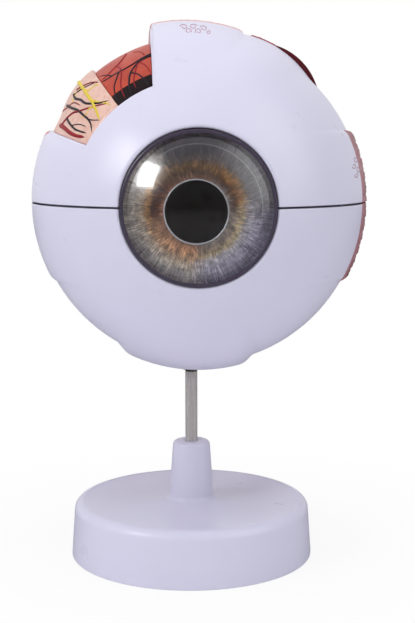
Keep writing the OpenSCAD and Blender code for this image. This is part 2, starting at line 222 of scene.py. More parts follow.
# Cuts round holes; each is (place, axis, radius, length) in millimetres of the world frame.
def drill(piece, holes):
    points, faces = [], []
    for start, axis, radius, length in holes:
        ring, ringFaces = lathePoints([(0, 0), (radius, 0), (radius, length), (0, length)], 64)
        turn = Vector((0, 0, 1)).rotation_difference(Vector(axis)).to_matrix()
        faces += [tuple(v + len(points) for v in f) for f in ringFaces]
        points += [tuple((Vector(start) + turn @ Vector(p)) * mm) for p in ring]
    cutter = makePiece("cutter", points, faces, [])
    cut = piece.modifiers.new("holes", "BOOLEAN")
    cut.object = cutter
    cut.operation = "DIFFERENCE"
    cut.solver = "EXACT"
    settle(piece)
    bpy.data.objects.remove(cutter)


# Turns what a piece's modifiers make into its plain mesh.
def settle(piece):
    seen = piece.evaluated_get(bpy.context.evaluated_depsgraph_get())
    mesh = bpy.data.meshes.new_from_object(seen)
    piece.modifiers.clear()
    piece.data = mesh
    mesh.name = piece.name


def finishPiece(piece, body, slot, *nodes):
    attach(piece, body)
    if nodes:
        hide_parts(*nodes)


def fill(tree, socket, value):
    if isinstance(value, bpy.types.NodeSocket):
        tree.links.new(value, socket)
    else:
        socket.default_value = value


# Short names for the nodes that the materials, the world and the node groups are made of.
class Nodes:
    def __init__(self, tree):
        self.tree = tree

    def add(self, kind, inputs=None, **settings):
        node = self.tree.nodes.new(kind)
        for key, value in settings.items():
            setattr(node, key, value)
        for key, value in (inputs or {}).items():
            fill(self.tree, node.inputs[key], value)
        return node

    def maths(self, operation, *values):
        return self.add("ShaderNodeMath", dict(enumerate(values)), operation=operation).outputs[0]

    def part(self, vector, axis):
        return self.add("ShaderNodeSeparateXYZ", {"Vector": vector}).outputs[axis]

    def distance(self, vector, point):
        return self.add("ShaderNodeVectorMath", {0: vector, 1: point}, operation="DISTANCE").outputs["Value"]

    def stretch(self, vector, *scale):
        return self.add("ShaderNodeMapping", {"Vector": vector, "Scale": scale}).outputs[0]

    def noise(self, vector, scale, detail, roughness=0.5, distortion=0.0):
        values = {"Vector": vector, "Scale": scale, "Detail": detail, "Roughness": roughness,
                  "Distortion": distortion}
        return self.add("ShaderNodeTexNoise", values).outputs["Fac"]

    def ramp(self, factor, stops):
        node = self.add("ShaderNodeValToRGB", {"Fac": factor})
        elements = node.color_ramp.elements
        while len(elements) < len(stops):
            elements.new(0.5)
        for element, (position, colour) in zip(elements, stops):
            element.position = position
            element.color = (*colour, 1)
        return node.outputs["Color"]

    def blend(self, factor, first, second, mode="MIX"):
        first, second = ((*c, 1) if isinstance(c, tuple) else c for c in (first, second))
        return self.add("ShaderNodeMix", {0: factor, 6: first, 7: second}, data_type="RGBA",
                        blend_type=mode).outputs[2]

    def span(self, value, low, high, toLow=0.0, toHigh=1.0):
        values = {"Value": value, "From Min": low, "From Max": high, "To Min": toLow, "To Max": toHigh}
        return self.add("ShaderNodeMapRange", values).outputs["Result"]

    def rays(self):
        return self.add("ShaderNodeLightPath").outputs


paints = {}


class Paint(Nodes):
    def __init__(self, name):
        paints[name] = bpy.data.materials.new(name)
        paints[name].use_nodes = True
        super().__init__(paints[name].node_tree)
        self.shader = self.tree.nodes["Principled BSDF"]
        self.at = self.add("ShaderNodeTexCoord").outputs["Object"]

    def give(self, values):
        for key, value in values.items():
            fill(self.tree, self.shader.inputs[key], value)

    def relief(self, height, strength, depth):
        bump = self.add("ShaderNodeBump", {"Height": height, "Strength": strength, "Distance": depth * mm})
        self.give({"Normal": bump.outputs["Normal"]})

    # lays a colour over what is there, as thick as the factor says
    def overlay(self, factor, colour):
        tone = self.shader.inputs["Base Color"].links[0].from_socket
        self.give({"Base Color": self.blend(factor, tone, colour)})

    # puts another shader before the piece's own, by a share
    def mixIn(self, share, other):
        mix = self.add("ShaderNodeMixShader", {0: share, 1: self.shader.outputs[0], 2: other.outputs[0]})
        self.tree.links.new(mix.outputs[0], self.tree.nodes["Material Output"].inputs["Surface"])


def shade(colour, factor):
    return tuple(min(1.0, c * factor) for c in colour)


# Moulded or painted plastic: faint mottling, a fine orange peel and uneven gloss.
def plastic(name, colour, mottle, gloss, peel, peelScale=260.0, shine=0.5):
    p = Paint(name)
    p.give({"Base Color": p.ramp(p.noise(p.at, 22.0, 4.0, 0.55), [(0.3, shade(colour, 1 - mottle)), (0.7, colour)]),
            "Roughness": p.span(p.noise(p.at, 60.0, 5.0, 0.6), 0.3, 0.7, *gloss),
            "Specular IOR Level": shine})
    p.relief(p.noise(p.at, peelScale, 2.0), peel, 0.05)
    return p


# Painted shade darkens the outside of the joint between the globe's two halves, standing in for the shadow in the gap.
def paintSeamShade(p):
    away = p.maths("SUBTRACT", p.part(p.at, "Z"), (globe["centreZ"] + globe["seamGap"] / 2) * mm)
    away = p.maths("ABSOLUTE", away)
    radius = p.distance(p.at, tuple(toWorld([0, 0, 0])))
    outside = p.span(radius, (globe["radius"] - 1.3) * mm, (globe["radius"] - 1.0) * mm)
    p.overlay(p.maths("MULTIPLY", p.span(away, 0.36 * mm, 0.56 * mm, 0.93, 0.0), outside), (0.05, 0.045, 0.07))


def metal(name, colour, rough, brushed, metallic):
    p = Paint(name)
    lines = p.noise(p.stretch(p.at, 1.0, 1.0, 0.03), 1400.0, 3.0, 0.6)
    p.give({"Base Color": p.ramp(lines, [(0.25, shade(colour, 0.86)), (0.75, colour)]),
            "Roughness": p.span(lines, 0.2, 0.8, rough * 0.7, rough * 1.4), "Metallic": metallic})
    if brushed:
        p.relief(lines, brushed, 0.02)
    return p


# Clear plastic lets light reach what lies behind as if the clear piece weren't there.
def clearPlastic(name, tint, bend, coat, wave):
    p = Paint(name)
    p.give({"Transmission Weight": 1.0, "IOR": bend, "Coat Weight": coat, "Coat Roughness": 0.19,
            "Base Color": p.ramp(p.noise(p.at, 30.0, 2.0), [(0.3, shade(tint, 0.985)), (0.7, tint)]),
            "Roughness": p.span(p.noise(p.at, 200.0, 4.0), 0.4, 0.9, 0.0, 0.02)})
    p.relief(p.noise(p.at, 45.0, 1.0), wave, 0.05)
    rays = p.rays()
    p.mixIn(p.maths("MAXIMUM", rays["Is Shadow Ray"], rays["Is Diffuse Ray"]),
            p.add("ShaderNodeBsdfTransparent", {"Color": (0.96, 0.97, 0.98, 1)}))


# Painted layer in which one colour runs into another in soft clouds.
def paintedLayer(name, low, high, streak, grain):
    p = Paint(name)
    cloud = p.noise(p.at, 38.0, 5.0, 0.6, 0.4)
    speck = p.span(p.noise(p.at, 420.0, 3.0, 0.6), 0.52, 0.75)
    p.give({"Base Color": p.blend(speck, p.ramp(cloud, [(0.32, low), (0.62, high)]), streak),
            "Roughness": p.span(cloud, 0.3, 0.7, 0.42, 0.3), "Specular IOR Level": 0.3})
    p.relief(p.noise(p.at, 330.0, 3.0, 0.6), grain, 0.12)
    return p


# Muscle paint: fibres that run backward, and the tendon's colour where it starts.
def musclePaint(name, low, high, pale, start):
    p = Paint(name)
    strand = p.noise(p.stretch(p.at, 1.0, 0.05, 1.0), 520.0, 4.0, 0.62)
    cloud = p.span(p.noise(p.at, 55.0, 3.0), 0.35, 0.7)
    tone = p.blend(cloud, p.ramp(strand, [(0.30, low), (0.55, high), (0.78, pale)]), shade(low, 0.8))
    behind = p.part(p.add("ShaderNodeAttribute", attribute_name="musclePlace").outputs["Vector"], "X")
    ragged = p.maths("MULTIPLY_ADD", strand, 9.0, behind)
    p.give({"Base Color": p.blend(p.span(ragged, 5.5, 11.0, 0.85, 0.0), tone, start),
            "Roughness": p.span(strand, 0.3, 0.7, 0.55, 0.36), "Specular IOR Level": 0.25})
    p.relief(strand, 0.6, 0.25)
    return p


print("materials")
# colour, mottle, gloss, peel, and where they differ the peel's scale and the shine
plastics = {
    "whitePlastic": ((0.69, 0.675, 0.815), 0.03, (0.27, 0.36), 0.1, 260.0, 0.2),
    "greyPlastic": ((0.17, 0.17, 0.19), 0.12, (0.5, 0.65), 0.5, 700.0),
    "darkPlastic": ((0.012, 0.010, 0.013), 0.3, (0.35, 0.5), 0.2),
    "ringPlastic": ((0.070, 0.055, 0.088), 0.3, (0.18, 0.28), 0.05),
    "nerveCream": ((0.72, 0.50, 0.40), 0.25, (0.35, 0.5), 0.5, 420.0),
    "nerveYellow": ((0.72, 0.58, 0.20), 0.25, (0.3, 0.45), 0.4, 900.0),
    "paintRed": ((0.31, 0.004, 0.014), 0.35, (0.35, 0.5), 0.1, 260.0, 0.2),
    "paintVein": ((0.022, 0.012, 0.024), 0.5, (0.35, 0.5), 0.1, 260.0, 0.2),
    "paintNerve": ((0.82, 0.62, 0.05), 0.2, (0.35, 0.5), 0.1, 260.0, 0.3),
    "paintMauve": ((0.48, 0.22, 0.27), 0.3, (0.3, 0.45), 0.1),
    "bandBrown": ((0.016, 0.005, 0.007), 0.4, (0.45, 0.6), 0.2, 260.0, 0.15),
}
# colour, roughness, depth of the brushed lines and metallic share
metals = {
    "rodSteel": ((0.66, 0.62, 0.60), 0.24, 0.0, 0.4),
    "rimSteel": ((0.80, 0.79, 0.81), 0.2, 0.0, 0.62),
    "screwSteel": ((0.55, 0.54, 0.52), 0.32, 0.2, 1.0),
}
# tint, bend of the light, coat and waviness
clears = {
    "clearDome": ((0.985, 0.99, 1.0), 1.24, 1.0, 0.02),
    "clearLens": ((0.98, 0.97, 0.93), 1.22, 0.0, 0.02),
    "clearBody": ((0.97, 0.985, 1.0), 1.1, 0.0, 0.05),
}
# dark and light cloud, speck, and depth of the grain
painted = {
    "pinkPaint": ((0.66, 0.38, 0.31), (0.80, 0.54, 0.45), (0.62, 0.33, 0.27), 0.1),
    "orangePaint": ((0.38, 0.026, 0.012), (0.55, 0.068, 0.03), (0.46, 0.05, 0.015), 0.15),
    "brownPaint": ((0.14, 0.018, 0.012), (0.24, 0.045, 0.024), (0.08, 0.01, 0.008), 0.4),
    "retinaShade": ((0.60, 0.15, 0.05), (0.78, 0.26, 0.09), (0.50, 0.09, 0.03), 0.15),
    "ciliaryPaint": ((0.055, 0.018, 0.012), (0.13, 0.05, 0.03), (0.02, 0.008, 0.006), 0.5),
}
# dark, middle and pale fibres, and the colour where the muscle starts
muscleTones = {
    "muscleRed": ((0.42, 0.085, 0.095), (0.60, 0.20, 0.20), (0.80, 0.52, 0.48), (0.78, 0.50, 0.52)),
    "musclePale": ((0.42, 0.085, 0.095), (0.60, 0.20, 0.20), (0.80, 0.52, 0.48), (0.84, 0.62, 0.66)),
    "muscleMauve": ((0.30, 0.11, 0.13), (0.44, 0.19, 0.22), (0.60, 0.36, 0.40), (0.44, 0.19, 0.22)),
    "muscleMaroon": ((0.09, 0.002, 0.008), (0.15, 0.005, 0.014), (0.24, 0.02, 0.03), (0.11, 0.003, 0.010)),
}
made = {name: build(name, *values) for build, table in ((plastic, plastics), (metal, metals),
        (clearPlastic, clears), (paintedLayer, painted), (musclePaint, muscleTones))
        for name, values in table.items()}
# painted shade along the outside of the globe's joint
paintSeamShade(made["whitePlastic"])
# the rod is painted dark from a height on, as painted shade and painted reflection of the dark bush and the globe's
# underside above it
shadeHeight = 83.7
steel = made["rodSteel"]
steel.overlay(steel.span(steel.part(steel.at, "Z"), (shadeHeight - 0.3) * mm, shadeHeight * mm, 0.0, 0.93),
              (0.03, 0.025, 0.03))
# toward the top pad the maroon muscle is a thin rosy strip
maroon = made["muscleMaroon"]
maroon.overlay(maroon.span(maroon.part(maroon.at, "X"), (globe["centreX"] + 33.0) * mm,
                           (globe["centreX"] + 35.0) * mm, 0.9, 0.0), (0.46, 0.09, 0.13))


def movedSphere(d, azimuth, out, back, radius=globe["radius"]):
    a = math.radians(azimuth)
    centre = np.array([out * math.cos(a), out * math.sin(a), -back])
    along = d @ centre
    return along + np.sqrt(along * along - centre @ centre + radius * radius)


# A rim whose section is a circle, turned about the globe's middle in the plane of one azimuth.
def bulgedRim(d, azimuth, rise, radius, back):
    a = math.radians(azimuth)
    across = np.array([-math.sin(a), math.cos(a), 0.0])
    core = globe["radius"] + rise - radius
    reach = np.full(d.shape[:-1], globe["radius"])
    slant = d @ across
    for _ in range(6):
        q = d * reach[..., None] + np.array([0, 0, back])
        side = q @ across
        flat = np.linalg.norm(q - side[..., None] * across, axis=-1)
        section = np.sqrt(np.maximum(radius * radius - side * side, 1.0))
        rate = np.sqrt(1 - slant ** 2) + side * slant / section
        reach = reach + (core + section - flat) / rate
    return np.where(np.abs(slant) * globe["radius"] < 0.8 * radius, reach, 0.0)


def softMax(a, b, width):
    return b + width * np.logaddexp(0, (a - b) / width)


def roundDrop(inside, radius):
    d = np.clip(inside, 0, radius)
    return radius - np.sqrt(radius * radius - (radius - d) ** 2)


def upperLeft(z):
    return muscles["upper"]["left"] + z * math.tan(math.radians(muscles["upper"]["fan"]))


def padRadius(d, kind):
    return movedSphere(d, *(muscles[kind][key] for key in ("azimuth", "out", "back")))


def upperPad(d):
    pad, m = padRadius(d, "upper"), muscles["upper"]
    x, z = d[..., 0] * pad, d[..., 2] * pad
    return pad - roundDrop(m["right"] - x, m["rightRound"]) - roundDrop(x - upperLeft(z), m["leftRound"])


def withPad(base, pad, inside, soft):
    return np.where(inside, np.maximum(softMax(pad, globe["radius"], soft), base), base)


def lowLine(rho):
    slope = math.radians(window["lowSlope"])
    return math.pi - slope - np.arcsin(np.clip(window["lowY"] * math.cos(slope) / rho, 0, 0.4))


# Signed distance below the window's slanted lower edge, positive on the white side.
def lowEdge(p):
    slope = math.radians(window["lowSlope"])
    return (window["lowY"] - p[..., 0] * math.tan(slope) - p[..., 1]) * math.cos(slope)


# Azimuths at which a plane x or y = constant crosses rings of the radius rho.
def acosLine(x, rho, limit):
    return np.arccos(np.clip(x / rho, -limit, limit))


def asinLine(y, rho, limit):
    return np.arcsin(np.clip(y / rho, -limit, limit))


rowPlanes = [None, window["front"], muscles["right"]["front"], muscles["tendonBack"], muscles["lowerTendonBack"],
             window["back"]]


def rowLine(k, radius):
    if k == 0:
        return np.arcsin(globe["bore"] / radius)
    return np.arccos(rowPlanes[k] / radius) if k < len(rowPlanes) else np.full_like(radius, math.pi)


def upperColumnLine(k, rho, z):
    upper = muscles["upper"]
    lines = (lambda: 0 * rho, lambda: asinLine(muscles["side"]["top"], rho, 0.6),
             lambda: acosLine(upper["right"], rho, 0.7), lambda: acosLine(upperLeft(z), rho, 0.53),
             lambda: 0 * rho + math.radians(window["stepAzimuth"]), lambda: lowLine(rho), lambda: 0 * rho + math.pi)
    return lines[k]()


def lowerColumnLine(k, rho, z):
    lower, sideLow = muscles["lower"], -muscles["side"]["bottom"]
    lines = (lambda: 0 * rho + math.pi, lambda: math.pi + asinLine(sideLow, rho, 0.6),
             lambda: math.pi + acosLine(-lower["left"], rho, 0.75),
             lambda: 2 * math.pi - acosLine(lower["right"], rho, 0.7),
             lambda: 2 * math.pi - asinLine(sideLow, rho, 0.6), lambda: 0 * rho + 2 * math.pi)
    return lines[k]()


def edgeRounding(p):
    rho = np.hypot(p[..., 0], p[..., 1])
    bore = (rho - globe["bore"]) * globe["radius"] / np.maximum(p[..., 2], 20.0)
    bore = np.where(p[..., 2] > 0, bore, far)
    return roundDrop(bore, globe["boreRound"]) + roundDrop(np.abs(p[..., 1]), globe["seamRound"])


# The globe with its side pads; the left pad runs up to the window's lower edge.
def sidePads(p, d):
    x, y, z = p[..., 0], p[..., 1], p[..., 2]
    side, left = muscles["side"], muscles["left"]
    edge = np.minimum(side["top"] - y, y - side["bottom"])
    drop = roundDrop(edge, side["round"])
    radius = withPad(np.full(x.shape, globe["radius"]), padRadius(d, "right") - drop,
                     (x > 0) & (edge > tiny) & (z > muscles["right"]["front"] - tiny), side["soft"])
    pad = padRadius(d, "left") - np.where(y > 0, roundDrop(lowEdge(p), left["topRound"]), drop)
    inside = (x < 0) & (y > side["bottom"] + tiny) & (y < side["top"] + 3) & (z > left["front"] - tiny)
    return withPad(radius, pad, inside, side["soft"])


def whiteUpper(p, d):
    x, y, z = p[..., 0], p[..., 1], p[..., 2]
    t, upper = tendon, muscles["upper"]
    rim = bulgedRim(d, t["azimuth"], t["rise"], t["radius"], t["back"]) - roundDrop(z - t["start"], t["round"])
    base = withPad(sidePads(p, d), rim, (x > t["left"]) & (z > t["start"] - tiny), t["soft"])
    inside = (x < upper["right"] - tiny) & (x > upperLeft(z) - 0.05) & (z > muscles["tendonBack"] - tiny) & (y > 0)
    base = withPad(base, upperPad(d), inside, upper["soft"])
    low = lowEdge(p)
    across = np.maximum(low, x - upperLeft(z))
    beyond = np.maximum(z - window["front"], window["back"] - z)
    # the rounding of the window's own edges, away from the tall pad beside it
    gapLow = np.where((beyond < 0) & (x < upperLeft(z)) & (low > 0), low, far)
    gapFront = np.where((low < 0) & (x < upperLeft(z)) & (beyond > 0), beyond, far)
    corner = np.where((across > 0) & (beyond > 0), np.hypot(np.maximum(across, 0), np.maximum(beyond, 0)), far)
    onEdge = ((np.abs(low) < 0.03) & (beyond < 0.03)) | ((np.abs(beyond) < 0.03) & (across < 0.03))
    gap = np.where(onEdge, 0.0, np.minimum(np.minimum(gapLow, gapFront), corner))
    return base - roundDrop(gap, window["edgeRound"]) - edgeRounding(p)


def whiteLower(p, d):
    x, z = p[..., 0], p[..., 2]
    lower = muscles["lower"]
    pad = padRadius(d, "lower") - roundDrop(np.minimum(lower["right"] - x, x - lower["left"]), lower["round"])
    inside = (x < lower["right"] - tiny) & (x > lower["left"] + tiny) & (z > muscles["lowerTendonBack"] - tiny)
    return withPad(sidePads(p, d), pad, inside & (p[..., 1] < 0), lower["soft"]) - edgeRounding(p)


# Cells between the edge lines, and which of those lines are sharp.
shellCells = {"rows": (11, 22, 13, 10, 9, 34), "upper": (22, 26, 34, 14, 16, 20), "lower": (24, 16, 40, 24, 24)}


def makeWhiteHalf(name, upper):
    rows = stations(shellCells["rows"], (True, upper, True, True, not upper, upper, False))
    if upper:
        columns = stations(shellCells["upper"], (True, True, True, True, False, True, True))
        line, outside = upperColumnLine, whiteUpper
    else:
        columns = stations(shellCells["lower"], (True,) * 6)
        line, outside = lowerColumnLine, whiteLower
    grids = [globeGrid(rows, columns, rowLine, line, surface).reshape(-1, 3)
             for surface in (outside, lambda p, d: np.full(p.shape[:-1], globe["inner"]))]
    points = np.concatenate(grids)
    keep = np.ones((len(rows) - 1, len(columns) - 1), bool)
    if upper:
        points = closeSeam(points)
        row, column = (np.array([s[0] for s in line[:-1]]) for line in (rows, columns))
        keep &= ~(((row >= 1) & (row <= 4))[:, None] & (column >= 3) & (column <= 4))
    return makePiece(name, toWorld(points), wallFaces(keep, True), ["whitePlastic"], 40)


print("white shells")
pegs = {"radius": 1.3, "fit": 0.08, "height": 5.0, "ring": 69.5, "angles": (32, 148, 232, 308)}
nerve = {"x": 18.0, "sheath": 10.0, "core": 7.5, "length": 20.0, "vessel": 1.3, "gap": 0.3}
stand = {"rod": 2.75, "rodFit": 0.08, "rodLow": 27.6, "rodTop": 91.5, "bush": 4.55, "globeLow": 84.9}
centre = (globe["centreX"], 0.0, globe["centreZ"])
up = (0, 0, 1)
pegPlaces = [(centre[0] + pegs["ring"] * math.cos(a), -pegs["ring"] * math.sin(a), 0)
             for a in map(math.radians, pegs["angles"])]


def nerveHole(radius):
    return (centre[0] - nerve["x"], 40.0, centre[2]), (0, 1, 0), radius, 60.0


lowerShell = makeWhiteHalf("lowerShell", False)
upperShell = makeWhiteHalf("upperShell", True)
drill(lowerShell, [nerveHole(nerve["sheath"]), ((0, 0, stand["globeLow"] - 2), up, stand["bush"], 10.0)])
drill(upperShell, [nerveHole(nerve["sheath"] + nerve["gap"])]
      + [((x, y, centre[2] - 1), up, pegs["radius"] + pegs["fit"], pegs["height"] + 1.6) for x, y, _ in pegPlaces])
finishPiece(lowerShell, "globe_lower", "white_plastic", "sclera_lower")
finishPiece(upperShell, "globe_upper", "white_plastic", "sclera_upper")

print("window layers")
layers = {"pinkAzimuth": 132.0, "pinkRise": 2.2, "pinkRound": 36.0, "pinkBack": 3.4, "pinkBase": 70.8,
          "orangeRadius": 71.0, "orangeAzimuth": 119.0, "orangeOut": 1.05, "orangeBack": 1.0, "bandBack": 43.2,
          "clearance": 0.1, "edgeRound": 0.7}


def pinkSurface(d):
    w = layers
    rim = bulgedRim(d, w["pinkAzimuth"], w["pinkRise"], w["pinkRound"], w["pinkBack"])
    return softMax(rim, movedSphere(d, 0, 0, 1.0, w["pinkBase"]), 0.4)


def orangeSurface(d):
    w = layers
    return movedSphere(d, w["orangeAzimuth"], w["orangeOut"], w["orangeBack"], w["orangeRadius"])


def makeLayer(name, surface, firstColumn, finish):
    clearance, band = layers["clearance"], layers["bandBack"]
    planes = [window["front"] - clearance, band, window["back"] + clearance]

    def outside(p, d):
        z, rho = p[..., 2], np.hypot(p[..., 0], p[..., 1])
        low, high = (upperColumnLine(firstColumn + k, rho, z) for k in (0, 1))
        azimuth = np.arctan2(p[..., 1], p[..., 0])
        edge = np.minimum(np.minimum(planes[0] - z, z - planes[2]),
                          np.minimum((azimuth - low) * rho, (high - azimuth) * rho))
        return surface(d) - roundDrop(edge, layers["edgeRound"])

    rows = stations((6, 44), (True, False, True))
    columns = stations((26,), (True, True))
    grids = [globeGrid(rows, columns, lambda k, radius: np.arccos(planes[k] / radius),
                       lambda k, rho, z: upperColumnLine(firstColumn + k, rho, z), form).reshape(-1, 3)
             for form in (outside, lambda p, d: np.full(p.shape[:-1], globe["inner"] + clearance))]
    keep = np.ones((len(rows) - 1, len(columns) - 1), bool)
    piece = makePiece(name, toWorld(closeSeam(np.concatenate(grids))), wallFaces(keep, False), finish, 40)
    if len(finish) > 1:
        for face in piece.data.polygons:
            face.material_index = 1 if face.center.y < -(band - 0.05) * mm else 0
    return piece


finishPiece(makeLayer("pinkLayer", pinkSurface, 4, ["pinkPaint"]), "globe_upper", "pink_layer", "window_choroid")
finishPiece(makeLayer("orangeLayer", orangeSurface, 3, ["orangePaint", "bandBrown"]), "globe_upper",
            "orange_layer", "window_vessel_layer")


# Opens a node group with a geometry input and the named others, and closes it with a material.
def openGroup(name, **inputs):
    group = Nodes(bpy.data.node_groups.new(name, "GeometryNodeTree"))
    for key, kind in {"Geometry": "Geometry", **inputs, "Finish": "Material"}.items():
        group.tree.interface.new_socket(key, in_out="INPUT", socket_type="NodeSocket" + kind)
    group.tree.interface.new_socket("Geometry", in_out="OUTPUT", socket_type="NodeSocketGeometry")
    return group, group.add("NodeGroupInput").outputs


def closeGroup(group, given, geometry):
    real = group.add("GeometryNodeRealizeInstances", {"Geometry": geometry})
    finish = group.add("GeometryNodeSetMaterial",
                       {"Geometry": real.outputs["Geometry"], "Material": given["Finish"]})
    group.add("NodeGroupOutput", {"Geometry": finish.outputs["Geometry"]})
    return group.tree


# The tree that sweeps a round section along paths, as thick as each point says.
def sweepTree():
    group, given = openGroup("sweptPath", Sides="Int")
    path = group.add("GeometryNodeMeshToCurve", {"Mesh": given["Geometry"]})
    thick = group.add("GeometryNodeInputNamedAttribute", {"Name": "thickness"}, data_type="FLOAT")
    section = group.add("GeometryNodeCurvePrimitiveCircle", {"Resolution": given["Sides"], "Radius": 1.0})
    sweep = group.add("GeometryNodeCurveToMesh",
                      {"Curve": path.outputs["Curve"], "Profile Curve": section.outputs["Curve"],
                       "Scale": thick.outputs["Attribute"], "Fill Caps": True})
    smooth = group.add("GeometryNodeSetShadeSmooth", {"Geometry": sweep.outputs["Mesh"]})
    return closeGroup(group, given, smooth.outputs["Geometry"])


sweptPath = sweepTree()


# Runs a piece through a node group and keeps the result as its mesh.
def runGroup(piece, name, group, **values):
    modifier = piece.modifiers.new(name, "NODES")
    modifier.node_group = group
    for item in group.interface.items_tree:
        if item.item_type == "SOCKET" and item.in_out == "INPUT" and item.name in values:
            modifier[item.identifier] = values[item.name]
    settle(piece)


# Smooth points through a given route, with the ends kept.
def smoothRoute(route, perSpan=7):
    p = np.asarray(route, float)
    ends = np.concatenate([[2 * p[0] - p[1]], p, [2 * p[-1] - p[-2]]])
    result = []
    for a, b, c, d in zip(ends, ends[1:], ends[2:], ends[3:]):
        for t in np.linspace(0, 1, perSpan, endpoint=False):
            result.append(0.5 * (2 * b + (c - a) * t + (2 * a - 5 * b + 4 * c - d) * t * t
                                 + (3 * b - a - 3 * c + d) * t ** 3))
    return np.array(result + [p[-1]])


# Painted lines that stand a little out of a surface. A route is its widths at the start and the
# end in millimetres, then its (azimuth, distance from the line of sight) points in degrees.
def raisedLines(name, surface, routes, paint, body, slot, shift=True, sunk=0.35):
    points, edges, thickness = [], [], []
    for (first, last), route in routes:
        line = np.radians(smoothRoute(route))
        d = direction(line[:, 0], line[:, 1])
        share = np.linspace(0, 1, len(line))
        width = (first + (last - first) * share) * np.minimum(1.0, 8 * (1.02 - share)) / 2
        at = d * (surface(d) - sunk * width)[:, None]
        edges += [(len(points) + i, len(points) + i + 1) for i in range(len(line) - 1)]
        points += [tuple(p) for p in toWorld(closeSeam(at) if shift else at)]
        thickness += list(width * mm)
    mesh = bpy.data.meshes.new(name)
    mesh.from_pydata(points, edges, [])
    mesh.attributes.new("thickness", "FLOAT", "POINT").data.foreach_set("value", thickness)
    piece = place(name, mesh)
    runGroup(piece, "sweep", sweptPath, Sides=8, Finish=paints[paint])
    finishPiece(piece, body, slot)


pinkVeins = [
    ((1.0, 0.68), [(139, 74), (135, 70), (132, 67), (129.5, 65.5)]),
    ((1.4, 1.0), [(139, 75), (139.5, 70), (138.5, 65), (138, 60), (136, 56), (133.5, 53), (130.5, 51)]),
    ((1.4, 0.77), [(143.5, 76), (143, 69), (142, 62), (142, 57), (142, 53), (143, 50), (145.5, 47.5)]),
    ((0.68, 0.42), [(142, 53), (141, 50.5), (139, 47.5)]),
    ((1.3, 0.68), [(147, 69), (148, 63), (148.5, 58), (148, 54), (147, 50)]),
    ((0.68, 0.42), [(148, 61), (146.5, 58), (145.5, 55), (145, 52)]),
]
pinkArteries = [
    ((2.3, 1.4), [(150.5, 72), (150.5, 66), (150.8, 60), (150.4, 55), (149, 50)]),
    ((1.4, 0.7), [(150.5, 71), (147.5, 69), (144, 65), (142, 61), (138.5, 56.5), (135, 53), (131.5, 50)]),
    ((1.2, 0.7), [(137, 75), (133, 70), (130.5, 66.5), (129.4, 64)]),
    ((0.9, 0.6), [(146, 80), (144, 74), (141, 69), (140, 62)]),
]
pinkNerves = [
    ((2.1, 1.2), [(135, 84), (135, 76), (135, 70), (135.5, 62), (136, 56), (137.5, 51), (139, 47.5)]),
    ((1.2, 0.63), [(135.5, 67), (133.5, 64.5), (131, 64), (129.5, 62)]),
    ((1.2, 0.54), [(135.7, 59), (134.5, 55), (132, 51), (131, 48.5)]),
    ((0.99, 0.54), [(135, 71), (137.5, 72.5), (140, 72), (142, 70)]),
    ((0.99, 0.54), [(136.5, 54), (138.5, 56), (140.5, 55.5), (144, 57)]),
]
orangeVeins = [
    ((1.3, 0.81), [(107.5, 66), (111, 65), (115, 63.5), (119, 63), (123, 63.5), (126.5, 64), (128.4, 65)]),
    ((1.3, 0.81), [(107.5, 64.5), (112, 63.5), (115, 61), (117.5, 58), (119.3, 54), (120.5, 50), (121, 46.6)]),
    ((0.99, 0.54), [(121, 63.2), (123, 60), (125.6, 56), (127.2, 51), (127.8, 47)]),
    ((0.9, 0.54), [(117, 58.4), (114.5, 55), (113, 50.5), (112.4, 47)]),
    ((0.9, 0.54), [(124, 63.8), (126, 68), (128, 71)]),
]
orangeArteries = [
    ((1.2, 0.6), [(116, 78), (118.5, 72), (122, 68.5), (126, 66.5), (128.4, 65.8)]),
    ((1.0, 0.5), [(121, 70), (120, 66), (120.5, 61), (122.5, 56), (123.8, 51), (124.2, 47.5)]),
    ((0.9, 0.5), [(113.5, 62), (115.5, 57.5), (117.5, 53), (118, 49)]),
    ((0.8, 0.4), [(110, 67.5), (111, 72), (114, 77)]),
    ((0.8, 0.4), [(112.5, 63), (110.5, 58), (109.8, 53)]),
]
for name, surface, routes, paint, slot in (
        ("pinkLayerVeins", pinkSurface, pinkVeins, "paintVein", "vessel_red"),
        ("pinkLayerArteries", pinkSurface, pinkArteries, "paintRed", "vessel_red"),
        ("pinkLayerNerves", pinkSurface, pinkNerves, "paintNerve", "nerve_yellow"),
        ("orangeLayerVeins", orangeSurface, orangeVeins, "paintVein", "vessel_red"),
        ("orangeLayerArteries", orangeSurface, orangeArteries, "paintRed", "vessel_red")):
    raisedLines(name, surface, routes, paint, "globe_upper", slot)


# A small painted sprig of curls; each is (azimuth, polar, size in degrees, turn, hand).
# They are drawn long away from the viewer, so that they look round from the front.
def curlSprig(curls, stretch=2.4):
    routes = []
    for azimuth, polar, size, turn, hand in curls:
        route = []
        for t in (k / 10 for k in range(11)):
            a = math.radians(turn + hand * 400 * t)
            reach = size * (1 - 0.72 * t)
            route.append((azimuth + reach * math.cos(a), polar + stretch * reach * math.sin(a)))
        routes.append(((0.36, 0.26), route))
    return routes


upperCurls = [(94.8, 76.0, 1.35, 20, 1), (93.4, 72.0, 1.1, 200, -1), (91.6, 76.6, 1.4, 150, -1),
              (90.0, 72.2, 1.15, 330, 1), (88.4, 75.6, 1.3, 30, 1), (86.8, 72.4, 0.8, 90, 1)]
sideCurls = [(15.6, 71.4, 1.25, 80, 1), (13.6, 68.0, 1.0, 260, -1), (12.0, 72.4, 1.3, 100, 1),
             (10.2, 68.6, 1.0, 280, -1)]
raisedLines("upperPadCurls", upperPad, curlSprig(upperCurls), "paintMauve", "globe_upper", "muscle_red", False, -0.1)
raisedLines("sidePadCurls", lambda d: padRadius(d, "right"), curlSprig(sideCurls), "paintMauve", "globe_upper",
            "muscle_red", True, -0.1)

